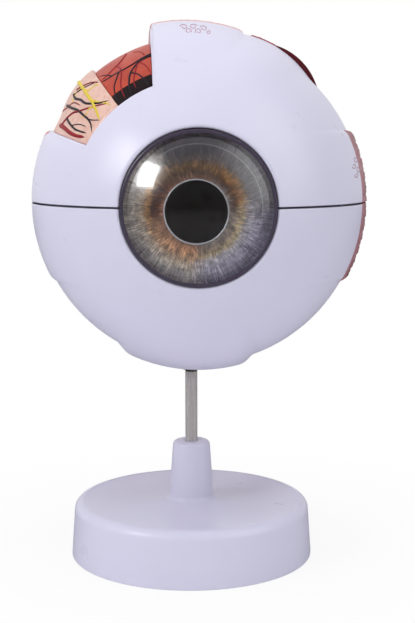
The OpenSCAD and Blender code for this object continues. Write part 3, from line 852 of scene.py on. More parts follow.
print("muscles")
underMuscle = {"clearance": 0.02, "least": 0.12}
edgeSteps = np.array([0, 0.35, 0.9, 1.8])


# Places along an edge of the given length, closer together at both ends.
def muscleSteps(length, count):
    return np.concatenate([edgeSteps, np.linspace(3, length - 3, count), length - edgeSteps[::-1]])


# A muscle lies on the globe between straight sides; across runs along the edge that crosses it.
# Its own frame has the globe's surface overhead: (across, up, forward), turned by an azimuth.
def makeMuscle(name, node, turn, surface, low, high, ends, paint, seed, grain=0.13, edgeRound=1.6, seam=False,
               slot="muscle_red"):
    back, front = ends
    upper = name.startswith("upper") or name.endswith("Upper")
    lift = name == "upperObliqueMuscle" or name.endswith("Upper")
    u = muscleSteps(high(0) - low(0), 60)
    u = u / u[-1]
    v = muscleSteps(front - back, 46) + back
    z = np.repeat(v[::-1][:, None], len(u), 1)
    x = low(z) + (high(z) - low(z)) * u[None, :]
    a = math.radians(turn - 90)
    spin = np.array([[math.cos(a), math.sin(a), 0], [-math.sin(a), math.cos(a), 0], [0, 0, 1]])

    def shaped(radius):
        y = np.sqrt(np.maximum(radius ** 2 - x ** 2 - z ** 2, 1.0))
        return np.stack([x, y, z], -1) @ spin

    radius = np.full(x.shape, 75.0)
    for _ in range(5):
        p = shaped(radius)
        d = p / np.linalg.norm(p, axis=-1, keepdims=True)
        first, last = x - low(z), high(z) - x
        if seam:
            first, last = (far, last) if low(0.0) == 0 else (first, far)
        edge = np.minimum(np.minimum(first, last), z - back)
        fibre = sum(math.sin(seed * k) * np.sin(x * f + k * 1.7 + 0.9 * np.sin(z * 0.045 * k + seed))
                    for k, f in ((1.0, 1.15), (2, 1.9), (3, 3.1)))
        fade = np.clip(edge / 2.5, 0, 1) * np.clip((front - z) / 9, 0, 1)
        rise = muscles["rise"] * np.clip((front - z) / 12, 0, 1)
        radius = surface(d) + rise - roundDrop(edge, edgeRound) + grain * fibre * fade
        if seam:
            radius = radius - roundDrop(np.abs(x), globe["seamRound"])
        radius = np.maximum(radius, globe["radius"] + underMuscle["least"])
    under = shaped(np.full(x.shape, globe["radius"] + underMuscle["clearance"]))
    points = np.concatenate([shaped(radius).reshape(-1, 3), under.reshape(-1, 3)])
    keep = np.ones((x.shape[0] - 1, x.shape[1] - 1), bool)
    piece = makePiece(name, toWorld(closeSeam(points) if lift else points), wallFaces(keep, False), [paint], 50)
    behind = np.zeros((len(piece.data.vertices), 3))
    behind[:, 0] = [front + v.co.y / mm for v in piece.data.vertices]
    piece.data.attributes.new("musclePlace", "FLOAT_VECTOR", "POINT").data.foreach_set("vector", behind.ravel())
    finishPiece(piece, "globe_upper" if upper else "globe_lower", slot, node)


def constant(value):
    return lambda z: value + 0 * z


makeMuscle("upperStraightMuscle", "superior_rectus", 90, upperPad, lambda z: upperLeft(z) + 0.1, constant(20.8),
           (muscles["back"], muscles["tendonBack"]), "musclePale", 1.0, 0.04, 0.5)
makeMuscle("lowerStraightMuscle", "inferior_rectus", -90, lambda d: padRadius(d, "lower"), constant(-24.0),
           constant(36.0), (muscles["back"], muscles["lowerTendonBack"]), "muscleRed", 2.3)
# to the right the frame's across runs from the top down, to the left from the bottom up
for kind, turn, sign, name, node, paint in (("right", 0, 1, "temple", "lateral", "muscleMauve"),
                                            ("left", 180, -1, "nose", "medial", "muscleRed")):
    for half, ends in (("Upper", (0.0, muscles["side"]["top"])), ("Lower", (muscles["side"]["bottom"], 0.0))):
        low, high = sorted(-sign * e for e in ends)
        makeMuscle(f"{name}Muscle{half}", f"{node}_rectus_{half.lower()}", turn, lambda d: padRadius(d, kind),
                   constant(low), constant(high), (muscles["back"], muscles[kind]["front"]), paint, 1.4 + turn,
                   seam=True)

# the maroon muscle's two rims, its frame's turn, its limits and the plane beside the straight muscle
oblique = {"rims": ((58.5, 5.0, 28.0, 0.0), (69.0, 5.1, 45.0, 5.8)), "turn": 56, "low": -24.0, "high": 19.4,
           "plane": 21.7, "height": 74.0, "ends": (-38.0, 3.0)}


def upperOblique(d):
    rim = np.maximum(*(bulgedRim(d, *values) for values in oblique["rims"]))
    return np.where(rim > 0, rim - muscles["rise"], 0)


# The frame's across of that plane, no lower than the muscle's own low edge.
def obliqueLow(z):
    a = math.radians(90 - oblique["turn"])
    across = np.full(np.shape(z), -20.0)
    for _ in range(8):
        high = np.sqrt(np.maximum(oblique["height"] ** 2 - across ** 2 - z ** 2, 1.0))
        across = across + (high * math.sin(a) + across * math.cos(a) - oblique["plane"]) * -0.6 / math.cos(a)
    return np.maximum(across, oblique["low"])


makeMuscle("lowerObliqueMuscle", "inferior_oblique", -34, lambda d: movedSphere(d, -34, 3.0, 4.0), constant(-22.0),
           constant(22.0), (-60.0, -46.0), "muscleRed", 3.1)
makeMuscle("upperObliqueMuscle", "superior_oblique", oblique["turn"], upperOblique, obliqueLow,
           constant(oblique["high"]), oblique["ends"], "muscleMaroon", 0.7, 0.1, 0.5, slot="muscle_maroon")


# Carries an outline of (distance from the axis, place along it) round the line of sight.
def turnForward(name, outline, paint, count=144, sweep=360.0, start=0.0, middle=(0.0, 0.0), hollow=False):
    points, faces = lathePoints(outline, count, sweep)
    a = math.radians(start)
    x = points[:, 0] * math.cos(a) - points[:, 1] * math.sin(a) + middle[0]
    y = points[:, 0] * math.sin(a) + points[:, 1] * math.cos(a) + middle[1]
    return makePiece(name, toWorld(np.stack([x, y, points[:, 2]], -1)), faces, [paint], 32, None, hollow)


# The same for outlines that stand on the table; places are where each copy stands.
def turnUpright(name, outlines, paint, count):
    points, faces, total = [], [], 0
    for outline, places in outlines:
        ring, ringFaces = lathePoints(outline, count)
        for at in places:
            points.append((ring + np.array(at)) * mm)
            faces += [tuple(v + total for v in f) for f in ringFaces]
            total += len(ring)
    return makePiece(name, np.concatenate(points), faces, [paint])


print("stand")
base = {"radius": 54.7, "height": 24.6, "shoulder": 4.0, "rim": 49.3, "dishIn": 12.2, "dishDepth": 2.2,
        "foot": 10.2, "fillet": 3.0, "columnTop": 51.6, "column": 8.2, "columnEdge": 2.0, "wall": 2.8,
        "plateSeat": 2.4, "plate": 51.5, "boss": 11.0, "screwRing": 38.0, "post": 3.6, "postHole": 1.3,
        "holeEnd": 8.4}
roof = base["height"] - base["dishDepth"] - base["wall"]
middle = [(0, 0, 0)]


def baseOutline():
    b = base
    height, top, hole = b["height"], b["columnTop"], stand["rod"] + stand["rodFit"]
    half = (b["rim"] - b["dishIn"]) / 2
    dish = (half ** 2 + b["dishDepth"] ** 2) / (2 * b["dishDepth"])
    sweep = math.degrees(math.asin(half / dish))
    outline = [(0, stand["rodLow"]), (hole, stand["rodLow"]), (hole, top - 1.1)]
    outline += rounded([(hole, top - 2, 0), (hole + 0.1, top, 0.8), (b["column"] + 0.1, top, b["columnEdge"]),
                        (b["foot"], height, 0)])[1:-1]
    outline += arc((b["foot"] + b["fillet"] - 0.2, height + b["fillet"]), b["fillet"], 184, 262, 9)
    outline += arc((b["dishIn"] + half, height - b["dishDepth"] + dish), dish, -90 - sweep * 0.94,
                   -90 + sweep * 0.985, 40)
    outline += arc((b["rim"], height - b["shoulder"]), b["shoulder"], 96, 4, 16)
    outline += [(b["rim"] + b["shoulder"], height - b["shoulder"])]
    outline += rounded([(53.3, 20, 0), (b["radius"], 1.0, 0.5), (b["radius"], 0.0, 0.4), (b["plate"], 0.0, 0)])[1:]
    outline += [(b["plate"], b["plateSeat"]), (b["radius"] - b["wall"], b["plateSeat"]),
                (b["radius"] - b["wall"] - 1.6, roof - 4), (b["rim"] - 3, roof), (b["boss"] + 2, roof),
                (b["boss"] - 1, roof - 1), (b["boss"], b["plateSeat"]), (0, b["plateSeat"])]
    return outline


postOutline = [(base["postHole"], base["plateSeat"]), (base["post"], base["plateSeat"]), (base["post"], roof + 0.2),
               (0, roof + 0.2), (0, base["holeEnd"]), (base["postHole"], base["holeEnd"])]
postPlaces = [(base["screwRing"] * math.cos(a), base["screwRing"] * math.sin(a), 0)
              for a in (math.radians(45 + 90 * k) for k in range(4))]
finishPiece(turnUpright("standBase", [(baseOutline(), middle), (postOutline, postPlaces)], "whitePlastic", 176),
            "base", "white_plastic", "base_shell")

r, low, top = stand["rod"], stand["rodLow"], stand["rodTop"]
rod = rounded([(0, low, 0), (r, low, 0.6), (r, top, 0.6), (0, top, 0)])
finishPiece(turnUpright("standRod", [(rod, middle)], "rodSteel", 64), "rod", "rod_steel", "stand_rod")
low, high = stand["globeLow"] - 0.3, stand["globeLow"] + 6.7
bush = rounded([(r + 0.08, low, 0.15), (stand["bush"], low, 0.35), (stand["bush"], high, 0), (r + 0.08, high, 0)])
finishPiece(turnUpright("swivelBush", [(bush, middle)], "darkPlastic", 64), "globe_lower", "dark_plastic",
            "swivel_bush")
r, low, high = pegs["radius"], centre[2] - 4, centre[2] + pegs["height"]
peg = rounded([(0, low, 0), (r, low, 0), (r, high, 1.0), (0, high, 0)])
finishPiece(turnUpright("seatPegs", [(peg, pegPlaces)], "whitePlastic", 32), "globe_lower", "white_plastic",
            "locating_pegs")
for node, paint in (("base_plate", "greyPlastic"), ("base_screws", "screwSteel")):
    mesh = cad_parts[node].data
    mesh.materials.clear()
    mesh.materials.append(paints[paint])

print("front pieces")
eye = {"ring": 31.0, "ringEdge": 31.15, "dome": 29.6, "skirt": 27.6, "ringBack": 59.37, "ringFront": 65.04,
       "domeRadius": 46.8, "domeMiddle": 30.24, "domeWall": 2.0, "irisBack": 57.22, "irisFront": 59.22,
       "irisBevel": 0.8, "bevelStart": 25.0, "pupil": 12.5, "pupilX": -0.9, "pupilY": -1.5, "rim": 0.6}
r, low, high = eye["dome"] + 0.02, eye["ringBack"], eye["ringFront"]
ring = rounded([(r, low, 0), (eye["ringEdge"], low, 0.2), (eye["ringEdge"], high, 0.6), (r, high, 0.3)])
finishPiece(turnForward("limbusRing", ring, "ringPlastic", 192), "cornea_unit", "ring_plastic", "limbus_ring")


def domeOutline():
    outer, inner = eye["domeRadius"], eye["domeRadius"] - eye["domeWall"]
    middle, low = (0, eye["domeMiddle"]), eye["ringBack"] + 0.3
    outline = arc(middle, outer, 90, math.degrees(math.acos(eye["dome"] / outer)), 56)
    outline += [(eye["dome"], low), (eye["skirt"], low)]
    return outline + arc(middle, inner, math.degrees(math.acos(eye["skirt"] / inner)), 90, 56)


finishPiece(turnForward("corneaDome", domeOutline(), "clearDome", 192), "cornea_unit", "clear_plastic", "cornea")

# The iris print, with painted light in it: runs of colour from the pupil outward, and toward which side each run
# shows, from which share of that side's reach on. The top run is dark as painted shade under the ring's rim and
# painted reflection of the dark surroundings, the pale outer stops of the left run are a painted highlight, and the
# dark outer stops are the iris's dark limbal edge together with painted shade under the ring.
irisRuns = {
    "top": [(0.0, (0.17, 0.09, 0.06)), (0.12, (0.08, 0.045, 0.03)), (0.28, (0.14, 0.075, 0.03)),
            (0.42, (0.08, 0.060, 0.062)), (0.62, (0.030, 0.023, 0.034)), (0.80, (0.062, 0.046, 0.062)),
            (1.0, (0.03, 0.018, 0.03))],
    "right": [(0.0, (0.22, 0.18, 0.16)), (0.10, (0.055, 0.024, 0.014)), (0.26, (0.24, 0.10, 0.022)),
              (0.38, (0.13, 0.072, 0.03)), (0.46, (0.085, 0.073, 0.078)), (0.70, (0.07, 0.06, 0.073)),
              (1.0, (0.025, 0.018, 0.03))],
    "left": [(0.0, (0.26, 0.12, 0.08)), (0.10, (0.085, 0.028, 0.014)), (0.26, (0.055, 0.017, 0.010)),
             (0.40, (0.34, 0.17, 0.05)), (0.50, (0.30, 0.23, 0.17)), (0.78, (0.38, 0.33, 0.28)),
             (1.0, (0.06, 0.04, 0.06))],
    "below": [(0.0, (0.18, 0.09, 0.06)), (0.18, (0.40, 0.20, 0.10)), (0.36, (0.36, 0.22, 0.13)),
              (0.56, (0.42, 0.36, 0.29)), (0.78, (0.26, 0.23, 0.23)), (1.0, (0.05, 0.035, 0.06))],
    "corner": [(0.0, (0.14, 0.12, 0.11)), (0.16, (0.22, 0.17, 0.13)), (0.28, (0.34, 0.27, 0.15)),
               (0.40, (0.32, 0.30, 0.33)), (0.62, (0.29, 0.27, 0.35)), (0.84, (0.14, 0.12, 0.19)),
               (1.0, (0.04, 0.032, 0.065))],
}
irisSides = {"right": ((1.0, 0.15, 0.0), 0.45, 0.8), "left": ((-1.0, 0.0, 0.0), 0.45, 0.8),
             "below": ((-0.35, -0.94, 0.0), 0.5, 0.85), "corner": ((0.72, -0.69, 0.0), 0.6, 0.85)}
fineTones = [(0.32, (0.34, 0.32, 0.33)), (0.50, (0.95, 0.95, 0.95)), (0.68, (2.1, 2.05, 1.95))]
blotchTones = [(0.36, (0.45, 0.43, 0.45)), (0.62, (1.45, 1.42, 1.38))]


# The iris's own coordinates are the turn round the pupil as (x, y), and the share of the way out.
def irisPaint():
    p = Paint("irisPaint")
    at = p.add("ShaderNodeAttribute", attribute_name="irisPlace").outputs["Vector"]
    share = p.part(at, "Z")
    fibre = p.noise(p.stretch(at, 9.0, 9.0, 0.55), 2.6, 5.0, 0.62, 0.25)
    fine = p.noise(p.stretch(at, 26.0, 26.0, 2.2), 2.4, 4.0, 0.6)
    patch = p.noise(at, 2.3, 4.0, 0.6)
    torn = p.maths("SUBTRACT", p.maths("MULTIPLY_ADD", fibre, 0.34, share), 0.17)
    tone = p.ramp(torn, irisRuns["top"])
    for side, (aim, start, end) in irisSides.items():
        reach = p.add("ShaderNodeVectorMath", {0: at, 1: aim}, operation="DOT_PRODUCT").outputs["Value"]
        shaky = p.maths("MULTIPLY_ADD", patch, 0.5, reach)
        tone = p.blend(p.span(shaky, start + 0.25, end + 0.25), tone, p.ramp(torn, irisRuns[side]))
    tone = p.blend(0.85, tone, p.ramp(fine, fineTones), "MULTIPLY")
    tone = p.blend(0.85, tone, p.ramp(p.noise(at, 7.0, 5.0, 0.7), blotchTones), "MULTIPLY")
    # the round line where the bevel starts
    line = p.maths("ABSOLUTE", p.maths("SUBTRACT", share, 0.70))
    tone = p.blend(p.span(line, 0.0, 0.012, 0.35, 0.0), tone, (0.55, 0.54, 0.55))
    p.give({"Base Color": tone, "Roughness": p.span(fine, 0.3, 0.7, 0.42, 0.3)})
    p.relief(fibre, 0.5, 0.2)


# The iris runs from the pupil, off its middle, to the round edge; its relief is radial folds.
def makeIris():
    rows, columns = 46, 360
    ringRadius, start, pupil = eye["ring"], eye["bevelStart"], (eye["pupilX"], eye["pupilY"])
    share = np.concatenate([[0], np.linspace(0.004, 0.985, rows - 2), [1]])
    a = np.radians(np.arange(columns) * 360.0 / columns)
    hole = eye["pupil"] + eye["rim"] + 0.02
    circle = np.stack([np.cos(a), np.sin(a)], -1)
    inner, outer = np.array(pupil) + hole * circle, ringRadius * circle
    flat = inner[None] + (outer - inner)[None] * share[:, None, None]
    rho = np.linalg.norm(flat, axis=-1)
    z = eye["irisFront"] - eye["irisBevel"] * np.clip((rho - start) / (ringRadius - start), 0, 1)
    folds = sum(np.sin(count * a + 2.3 * k + 2.0 * np.sin(3 * a + k)) * height
                for k, (count, height) in enumerate(((37, 0.05), (61, 0.04), (97, 0.03))))
    fade = np.sin(np.pi * np.clip(share, 0, 1)) ** 0.6
    z = z + (folds[None] - 0.12) * fade[:, None]
    points = np.concatenate([np.concatenate([flat, level[..., None]], -1).reshape(-1, 3)
                             for level in (z, np.full(z.shape, eye["irisBack"]))])
    faces, half, last = [], rows * columns, (rows - 1) * columns
    for i in range(rows - 1):
        for k in range(columns):
            m = (k + 1) % columns
            p, q, s, t = i * columns + k, i * columns + m, (i + 1) * columns + m, (i + 1) * columns + k
            faces += [(p, t, s, q), (p + half, q + half, s + half, t + half)]
    for k in range(columns):
        m = (k + 1) % columns
        faces += [(k, m, m + half, k + half), (last + m, last + k, last + k + half, last + m + half)]
    piece = makePiece("irisDisc", toWorld(points), faces, ["irisPaint"], 60)
    co = np.array([v.co for v in piece.data.vertices]) / mm
    x, y = co[:, 0] - globe["centreX"], co[:, 2] - globe["centreZ"]
    angle = np.arctan2(y - pupil[1] * 0.5, x - pupil[0] * 0.5)
    near = np.hypot(x - pupil[0], y - pupil[1]) - hole
    beyond = ringRadius - np.hypot(x, y)
    values = np.stack([np.cos(angle), np.sin(angle), near / np.maximum(near + beyond, 0.01)], -1)
    at = piece.data.attributes.new("irisPlace", "FLOAT_VECTOR", "POINT")
    at.data.foreach_set("vector", values.astype(np.float32).ravel())
    return piece


irisPaint()
finishPiece(makeIris(), "iris_unit", "iris_print", "iris")
r, low, high = eye["pupil"], eye["irisBack"] - 0.3, eye["irisFront"] + 0.3
rim = rounded([(r, low, 0.12), (r + eye["rim"], low, 0.12), (r + eye["rim"], high, 0.25), (r, high, 0.25)])
finishPiece(turnForward("pupilRim", rim, "rimSteel", 160, middle=(eye["pupilX"], eye["pupilY"])),
            "iris_unit", "rim_metal", "pupil_rim")

print("inner pieces")
deep = {"choroid": 67.0, "retina": 63.3, "clear": 60.8, "ledge": 28.9, "ledgeFront": 57.12, "liftGap": 0.3,
        "seamGap": 0.05, "cup": 61.36, "ball": 60.5, "ballWall": 2.5, "lensFront": 52.02, "lensBack": 28.02,
        "lensFrontRadius": 60.0, "lensBackRadius": 36.0, "lens": 27.0, "lensEdge": 40.21, "lensFit": 0.03,
        "ciliaryLength": 5.0, "ciliaryTip": 40.0, "ciliarySlope": 3.0, "processes": 72}


# An arc about the globe's middle between two distances from the line of sight, each in front of
# or behind the middle.
def sphereArc(radius, fromRho, fromFront, toRho, toFront, count=48):
    ends = [math.degrees(math.acos(min(1.0, rho / radius))) * (1 if forward else -1)
            for rho, forward in ((fromRho, fromFront), (toRho, toFront))]
    return arc((0, 0), radius, *ends, count)


def choroidOutline(outer):
    outline = sphereArc(outer, 0, False, globe["bore"], True)
    outline += [(globe["bore"], deep["ledgeFront"]), (deep["ledge"], deep["ledgeFront"])]
    return outline + sphereArc(deep["retina"], deep["ledge"], True, 0, False)


def retinaOutline():
    return (sphereArc(deep["retina"] - tiny, 0, False, deep["ledge"], True)
            + sphereArc(deep["clear"], deep["ledge"], True, 0, False))


def makeHalf(name, outline, paint, upper, slot, node):
    piece = turnForward(name, outline, paint, 96, 180, 0 if upper else 180)
    if upper:
        lift = np.array([v.co for v in piece.data.vertices])
        y = lift[:, 2] / mm - globe["centreZ"]
        lift[:, 2] = (globe["centreZ"] + deep["seamGap"] + y * (1 - deep["seamGap"] / globe["radius"])) * mm
        piece.data.vertices.foreach_set("co", lift.ravel())
    drill(piece, [nerveHole(nerve["core"] + (deep["liftGap"] if upper else 0))])
    finishPiece(piece, "inner_upper" if upper else "globe_lower", slot, node)


# the retina has a darker spot on the line of sight, with a pale middle
retina = made["retinaShade"]
spotAway = retina.distance(retina.at, tuple(toWorld([0, 0, -deep["clear"]])))
retina.overlay(retina.span(spotAway, 0.001, 0.007, 0.75, 0.0), (0.38, 0.07, 0.02))
retina.overlay(retina.span(spotAway, 0.0, 0.0016, 0.8, 0.0), (0.85, 0.50, 0.12))
makeHalf("choroidLower", choroidOutline(deep["choroid"] - tiny), "brownPaint", False, "brown_layer", "choroid_lower")
makeHalf("choroidUpper", choroidOutline(deep["choroid"] - deep["liftGap"]), "brownPaint", True, "brown_layer",
         "choroid_upper")
makeHalf("retinaLower", retinaOutline(), "retinaShade", False, "orange_layer", "retina_lower")
makeHalf("retinaUpper", retinaOutline(), "retinaShade", True, "orange_layer", "retina_upper")

# Arcades leave the nerve's disc, bend round the spot on the line of sight and branch forward.
# Each is (start turn at the disc, bend toward the spot, reach) in degrees and a width, on the upper half.
arcadeRoutes = ((62, -38, 92, 0.9), (104, 10, 78, 0.8), (84, -14, 100, 0.6), (132, 26, 66, 0.6))


def arcades(sign, shift):
    disc = np.array([-nerve["x"], 0.0, -math.sqrt(deep["clear"] ** 2 - nerve["x"] ** 2)])
    start = disc / np.linalg.norm(disc)
    lines = []
    for turn, bend, reach, width in arcadeRoutes:
        points = []
        for t in np.linspace(0.13, 1, 9):
            heading = math.radians(turn + shift + bend * t)
            along = math.radians(reach) * t
            side = np.array([math.cos(heading), sign * math.sin(heading), 0.0])
            side -= start * (side @ start)
            side /= np.linalg.norm(side)
            p = start * math.cos(along) + side * math.sin(along)
            if sign * p[1] < 0.03:
                break
            points.append((math.degrees(math.atan2(p[1], p[0])), math.degrees(math.acos(p[2]))))
        if len(points) > 2:
            azimuths = np.degrees(np.unwrap(np.radians([q[0] for q in points])))
            lines.append(((width, 0.3), list(zip(azimuths, [q[1] for q in points]))))
    return lines


for sign, half, body in ((1.0, "Upper", "inner_upper"), (-1, "Lower", "globe_lower")):
    for kind, shift, paint in (("Veins", 0, "paintVein"), ("Arteries", 7, "paintRed")):
        raisedLines(f"retina{kind}{half}", lambda d: np.full(d.shape[:-1], deep["clear"]), arcades(sign, shift),
                    paint, body, "vessel_red", sign > 0, -0.6)


def lensOutline():
    front, back = deep["lensFrontRadius"], deep["lensBackRadius"]
    outer, inner = (math.degrees(math.asin(deep["lens"] / radius)) for radius in (front, back))
    return (arc((0, deep["lensFront"] - front), front, 90, 90 - outer, 40)
            + arc((0, deep["lensBack"] + back), back, -90 + inner, -90, 40))


finishPiece(turnForward("eyeLens", lensOutline(), "clearLens"), "clear_body", "lens_plastic", "lens")


# The clear ball: its outside, its dimple for the lens from both sides, and its inside.
def ballOutline():
    edge, wall, ball = deep["lensEdge"], deep["ballWall"], deep["ball"]
    dimple = deep["lensBack"] + deep["lensBackRadius"]
    outline = sphereArc(ball, 0, False, math.sqrt(ball ** 2 - edge ** 2), True, 90)
    for grow, start, end in ((0.0, 1, 0), (wall, 0, 1)):
        radius = deep["lensBackRadius"] + grow + deep["lensFit"]
        rho = math.sqrt(radius ** 2 - (dimple - edge + grow) ** 2)
        turn = math.degrees(math.asin(rho / radius))
        outline += arc((0, dimple), radius, -90 + turn * start, -90 + turn * end, 40)
    inner = ball - wall
    return outline + sphereArc(inner, math.sqrt(inner ** 2 - (edge - wall) ** 2), True, 0, False, 90)


finishPiece(turnForward("clearBall", ballOutline(), "clearBody", hollow=True), "clear_body", "clear_plastic",
            "vitreous_body")


# One fold of the ciliary body: a rounded ridge along x, from its root to its tip.
def foldMesh():
    low, high = deep["lens"] + 3.2, deep["ciliaryTip"] - 2.0
    # place along x, half width, and how far back and forward it reaches
    rows = [(low, 0.35, 3.6, 4.4), (low + 0.5, 0.7, 2.9, 4.8), (low + 3, 0.75, 1.2, 5.0), (high, 0.8, 0.4, 5.0)]
    points, faces = [], []
    for x, half, back, front in rows:
        for a in (math.radians(45 * k + 22.5) for k in range(8)):
            points.append((x, half * math.cos(a),
                           deep["lensEdge"] + (back + front) / 2 + (front - back) / 2 * math.sin(a)))
    for i in range(len(rows) - 1):
        for k in range(8):
            m = (k + 1) % 8
            faces.append((i * 8 + k, i * 8 + m, (i + 1) * 8 + m, (i + 1) * 8 + k))
    faces += [tuple(reversed(range(8))), tuple(range((len(rows) - 1) * 8, len(rows) * 8))]
    mesh = bpy.data.meshes.new("ciliaryFold")
    mesh.from_pydata([tuple(v * mm for v in p) for p in points], [], faces)
    return mesh


# Sets the fold round the line of sight and joins the folds to the ring that carries them.
def foldTree():
    group, given = openGroup("foldRing", Fold="Object", Count="Int")
    fold = group.add("GeometryNodeObjectInfo", {"Object": given["Fold"]})
    places = group.add("GeometryNodeMeshLine", {"Count": given["Count"], "Offset": (0, 0, 0)})
    index = group.add("GeometryNodeInputIndex").outputs[0]
    turn = group.maths("MULTIPLY", index, group.maths("DIVIDE", 2 * math.pi, given["Count"]))
    wander, size = (group.add("FunctionNodeRandomValue", {2: low, 3: high, "Seed": seed}, data_type="FLOAT").outputs[1]
                    for low, high, seed in ((-0.012, 0.012, 4), (0.97, 1.0, 9)))
    spin = group.add("ShaderNodeCombineXYZ", {"Z": group.maths("ADD", turn, wander)})
    copies = group.add("GeometryNodeInstanceOnPoints",
                       {"Points": places.outputs["Mesh"], "Instance": fold.outputs["Geometry"],
                        "Rotation": spin.outputs[0], "Scale": size})
    facing = group.add("GeometryNodeTransform",
                       {"Geometry": copies.outputs["Instances"], "Rotation": (math.pi / 2, 0, 0),
                        "Translation": (globe["centreX"] * mm, 0, globe["centreZ"] * mm)})
    whole = group.add("GeometryNodeJoinGeometry", {"Geometry": facing.outputs["Geometry"]})
    group.tree.links.new(given["Geometry"], whole.inputs["Geometry"])
    return closeGroup(group, given, whole.outputs["Geometry"])


def makeCiliaryBody():
    edge, tip, lens = deep["lensEdge"], deep["ciliaryTip"], deep["lens"]
    front = edge + deep["ciliaryLength"]
    outline = rounded([(lens + 6.4, edge + 0.3, 0.2), (tip + deep["ciliarySlope"], edge, 0.5), (tip, front, 0.5),
                       (lens + 8.5, front, 0.4)])
    piece = turnForward("ciliaryRing", outline, "ciliaryPaint")
    fold = place("ciliaryFold", foldMesh())
    runGroup(piece, "folds", foldTree(), Fold=fold, Count=deep["processes"], Finish=paints["ciliaryPaint"])
    bpy.data.objects.remove(fold)
    finishPiece(piece, "clear_body", "ciliary_brown", "ciliary_body")


makeCiliaryBody()

print("nerve")


# A tube along the nerve's axis whose inner end lies on a sphere about the globe's middle.
def makeNervePart(name, outline, paint, endRadius):
    points, faces = lathePoints(outline, 72)
    x, y, z = points[:, 0] - nerve["x"], points[:, 1], points[:, 2]
    z = np.where(z == 0, -np.sqrt(np.maximum(endRadius ** 2 - x * x - y * y, 1.0)), z)
    return makePiece(name, toWorld(np.stack([x, y, z], -1)), faces, [paint], 40)


end = -globe["radius"] - nerve["length"]
r, inner = nerve["sheath"] - 0.02, nerve["core"] + 0.02
sheath = [(inner, 0), (r, 0)] + rounded([(r, -75, 0), (r, end, 0.8), (inner, end, 0.5), (inner, -75, 0)])
finishPiece(makeNervePart("nerveSheath", sheath, "nerveCream", globe["inner"]), "globe_lower", "nerve_cream",
            "nerve_sheath")
r = nerve["core"] - 0.05
core = [(0, 0), (r, 0)] + rounded([(r, -80, 0), (r, end - 1.5, 0.7), (0, end - 1.5, 0)])
finishPiece(makeNervePart("nerveCore", core, "nerveYellow", deep["cup"]), "globe_lower", "nerve_yellow",
            "nerve_core")


def makeVesselPair():
    points, faces, slots = [], [], []
    r, front, back = nerve["vessel"], -80.0, end - 2.3
    outline = rounded([(0, front, 0), (r, front, 0), (r, back, 0.3), (0.7, back, 0.1), (0.7, back + 0.6, 0),
                       (0, back + 0.6, 0)])
    ring, ringFaces = lathePoints(outline, 32)
    for k, at in enumerate((-2.0, 2.0)):
        faces += [tuple(v + k * len(ring) for v in face) for face in ringFaces]
        slots += [k] * len(ringFaces)
        points.append(toWorld(ring + np.array([at - nerve["x"], 0, 0])))
    return makePiece("nerveVessels", np.concatenate(points), faces, ["paintRed", "paintVein"], 40, slots)


finishPiece(makeVesselPair(), "globe_lower", "vessel_red", "nerve_vessels")

print("studio")
# the boxes give the light, and the two shines are what the glossy pieces mirror
lamps = {
    "leftBox": {"azimuth": -52.0, "height": 27.0, "size": (0.554, 0.576), "power": 3.4},
    "rightBox": {"azimuth": 63.0, "height": 28.0, "size": (0.874, 1.30), "power": 1.2},
    "topBox": {"azimuth": -20.0, "height": 82.0, "size": (1.2, 1.2), "power": 7.6},
    "leftShine": {"azimuth": -56.0, "height": 27.0, "size": (0.40, 0.44), "power": 11.0},
    "rightShine": {"azimuth": 63.0, "height": 28.0, "size": (0.874, 1.30), "power": 17.0},
}
studio = {"distance": 1.2, "ambient": 0.57, "cool": 1.03, "floor": 3.0}
for name, values in lamps.items():
    a, h = math.radians(values["azimuth"]), math.radians(values["height"])
    away = Vector((math.sin(a) * math.cos(h), -math.cos(a) * math.cos(h), math.sin(h)))
    data = bpy.data.lights.new(name, "AREA")
    data.shape = "RECTANGLE"
    data.size, data.size_y = values["size"]
    data.energy = values["power"]
    lamp = place(name, data)
    lamp.location = Vector(centre) * mm + away * studio["distance"]
    lamp.rotation_euler = away.to_track_quat("Z", "Y").to_euler()
    lamp.visible_glossy = "Shine" in name
    lamp.visible_diffuse = "Shine" not in name
    lamp.visible_transmission = False


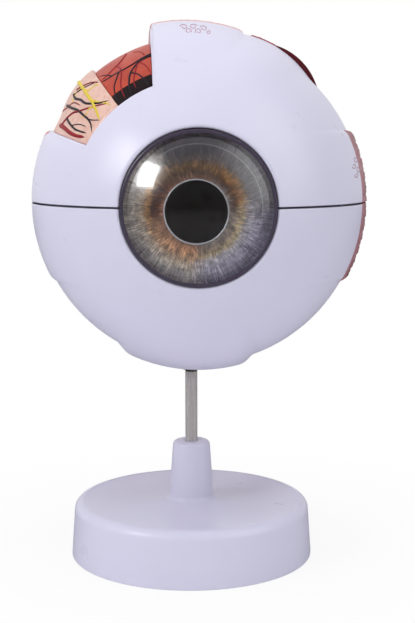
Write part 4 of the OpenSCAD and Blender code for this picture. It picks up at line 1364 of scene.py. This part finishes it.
# White to the camera and behind clear pieces, grey as ambient light, dark in front for mirrors.
def makeWorld():
    world = bpy.data.worlds.new("studio")
    bpy.context.scene.world = world
    world.use_nodes = True
    w = Nodes(world.node_tree)
    rays, depth = w.rays(), w.part(w.add("ShaderNodeTexCoord").outputs["Generated"], "Y")
    # a ray that a clear piece turned back toward the front meets the dark side too
    through = w.maths("MULTIPLY", rays["Is Transmission Ray"], w.span(depth, -0.7, -0.3))
    seen = w.maths("MAXIMUM", rays["Is Camera Ray"], through)
    turned = w.maths("MAXIMUM", rays["Is Glossy Ray"], rays["Is Transmission Ray"])
    grey = studio["ambient"]
    ambient = w.blend(turned, (grey, grey, grey * studio["cool"]), w.span(depth, -0.15, 0.5, 0.01, 0.8))
    w.tree.links.new(w.blend(seen, ambient, (1.0, 1.0, 1.0)), w.tree.nodes["Background"].inputs["Color"])


# The floor is white to the camera and keeps a soft part of the shadow. Mirrors find it dark, and
# so do clear pieces that turn a ray back toward the front.
def makeFloor():
    size = studio["floor"]
    mesh = bpy.data.meshes.new("floor")
    mesh.from_pydata([(-size, -size, 0), (size, -size, 0), (size, size, 0), (-size, size, 0)], [], [(0, 1, 2, 3)])
    p = Paint("floorPaint")
    rays = p.rays()
    clear = rays["Is Transmission Ray"]
    turned = p.maths("MULTIPLY", clear, p.span(p.part(p.at, "Y"), -0.09, -0.13))
    mirrored = p.maths("MULTIPLY", rays["Is Glossy Ray"], rays["Is Reflection Ray"])
    dark = p.maths("MAXIMUM", mirrored, turned)
    p.give({"Roughness": 0.9, "Base Color": p.blend(dark, (0.88, 0.88, 0.90), (0.12, 0.12, 0.13))})
    away = p.add("ShaderNodeVectorMath", {0: p.at}, operation="LENGTH").outputs["Value"]
    seen = p.maths("MAXIMUM", rays["Is Camera Ray"], p.maths("SUBTRACT", clear, turned))
    p.mixIn(p.maths("MULTIPLY", seen, p.span(away, 0.06, 0.22, 0.86, 1.0)),
            p.add("ShaderNodeEmission", {"Color": (1, 1, 1, 1), "Strength": 1.0}))
    mesh.materials.append(paints["floorPaint"])
    place("floor", mesh)


makeWorld()
makeFloor()

view = {"place": (3.475, -551.72, 184.03), "pan": 0.007, "pitch": 0.1322, "lens": 107.2}
data = bpy.data.cameras.new("camera")
data.sensor_fit = "HORIZONTAL"
data.sensor_width = 36.0
data.lens = view["lens"]
data.clip_start = 0.01
camera = place("camera", data)
camera.location = Vector(view["place"]) * mm
camera.rotation_euler = (math.pi / 2 - view["pitch"], 0, -view["pan"])
bpy.context.scene.camera = camera
bpy.context.scene.view_settings.view_transform = "Standard"
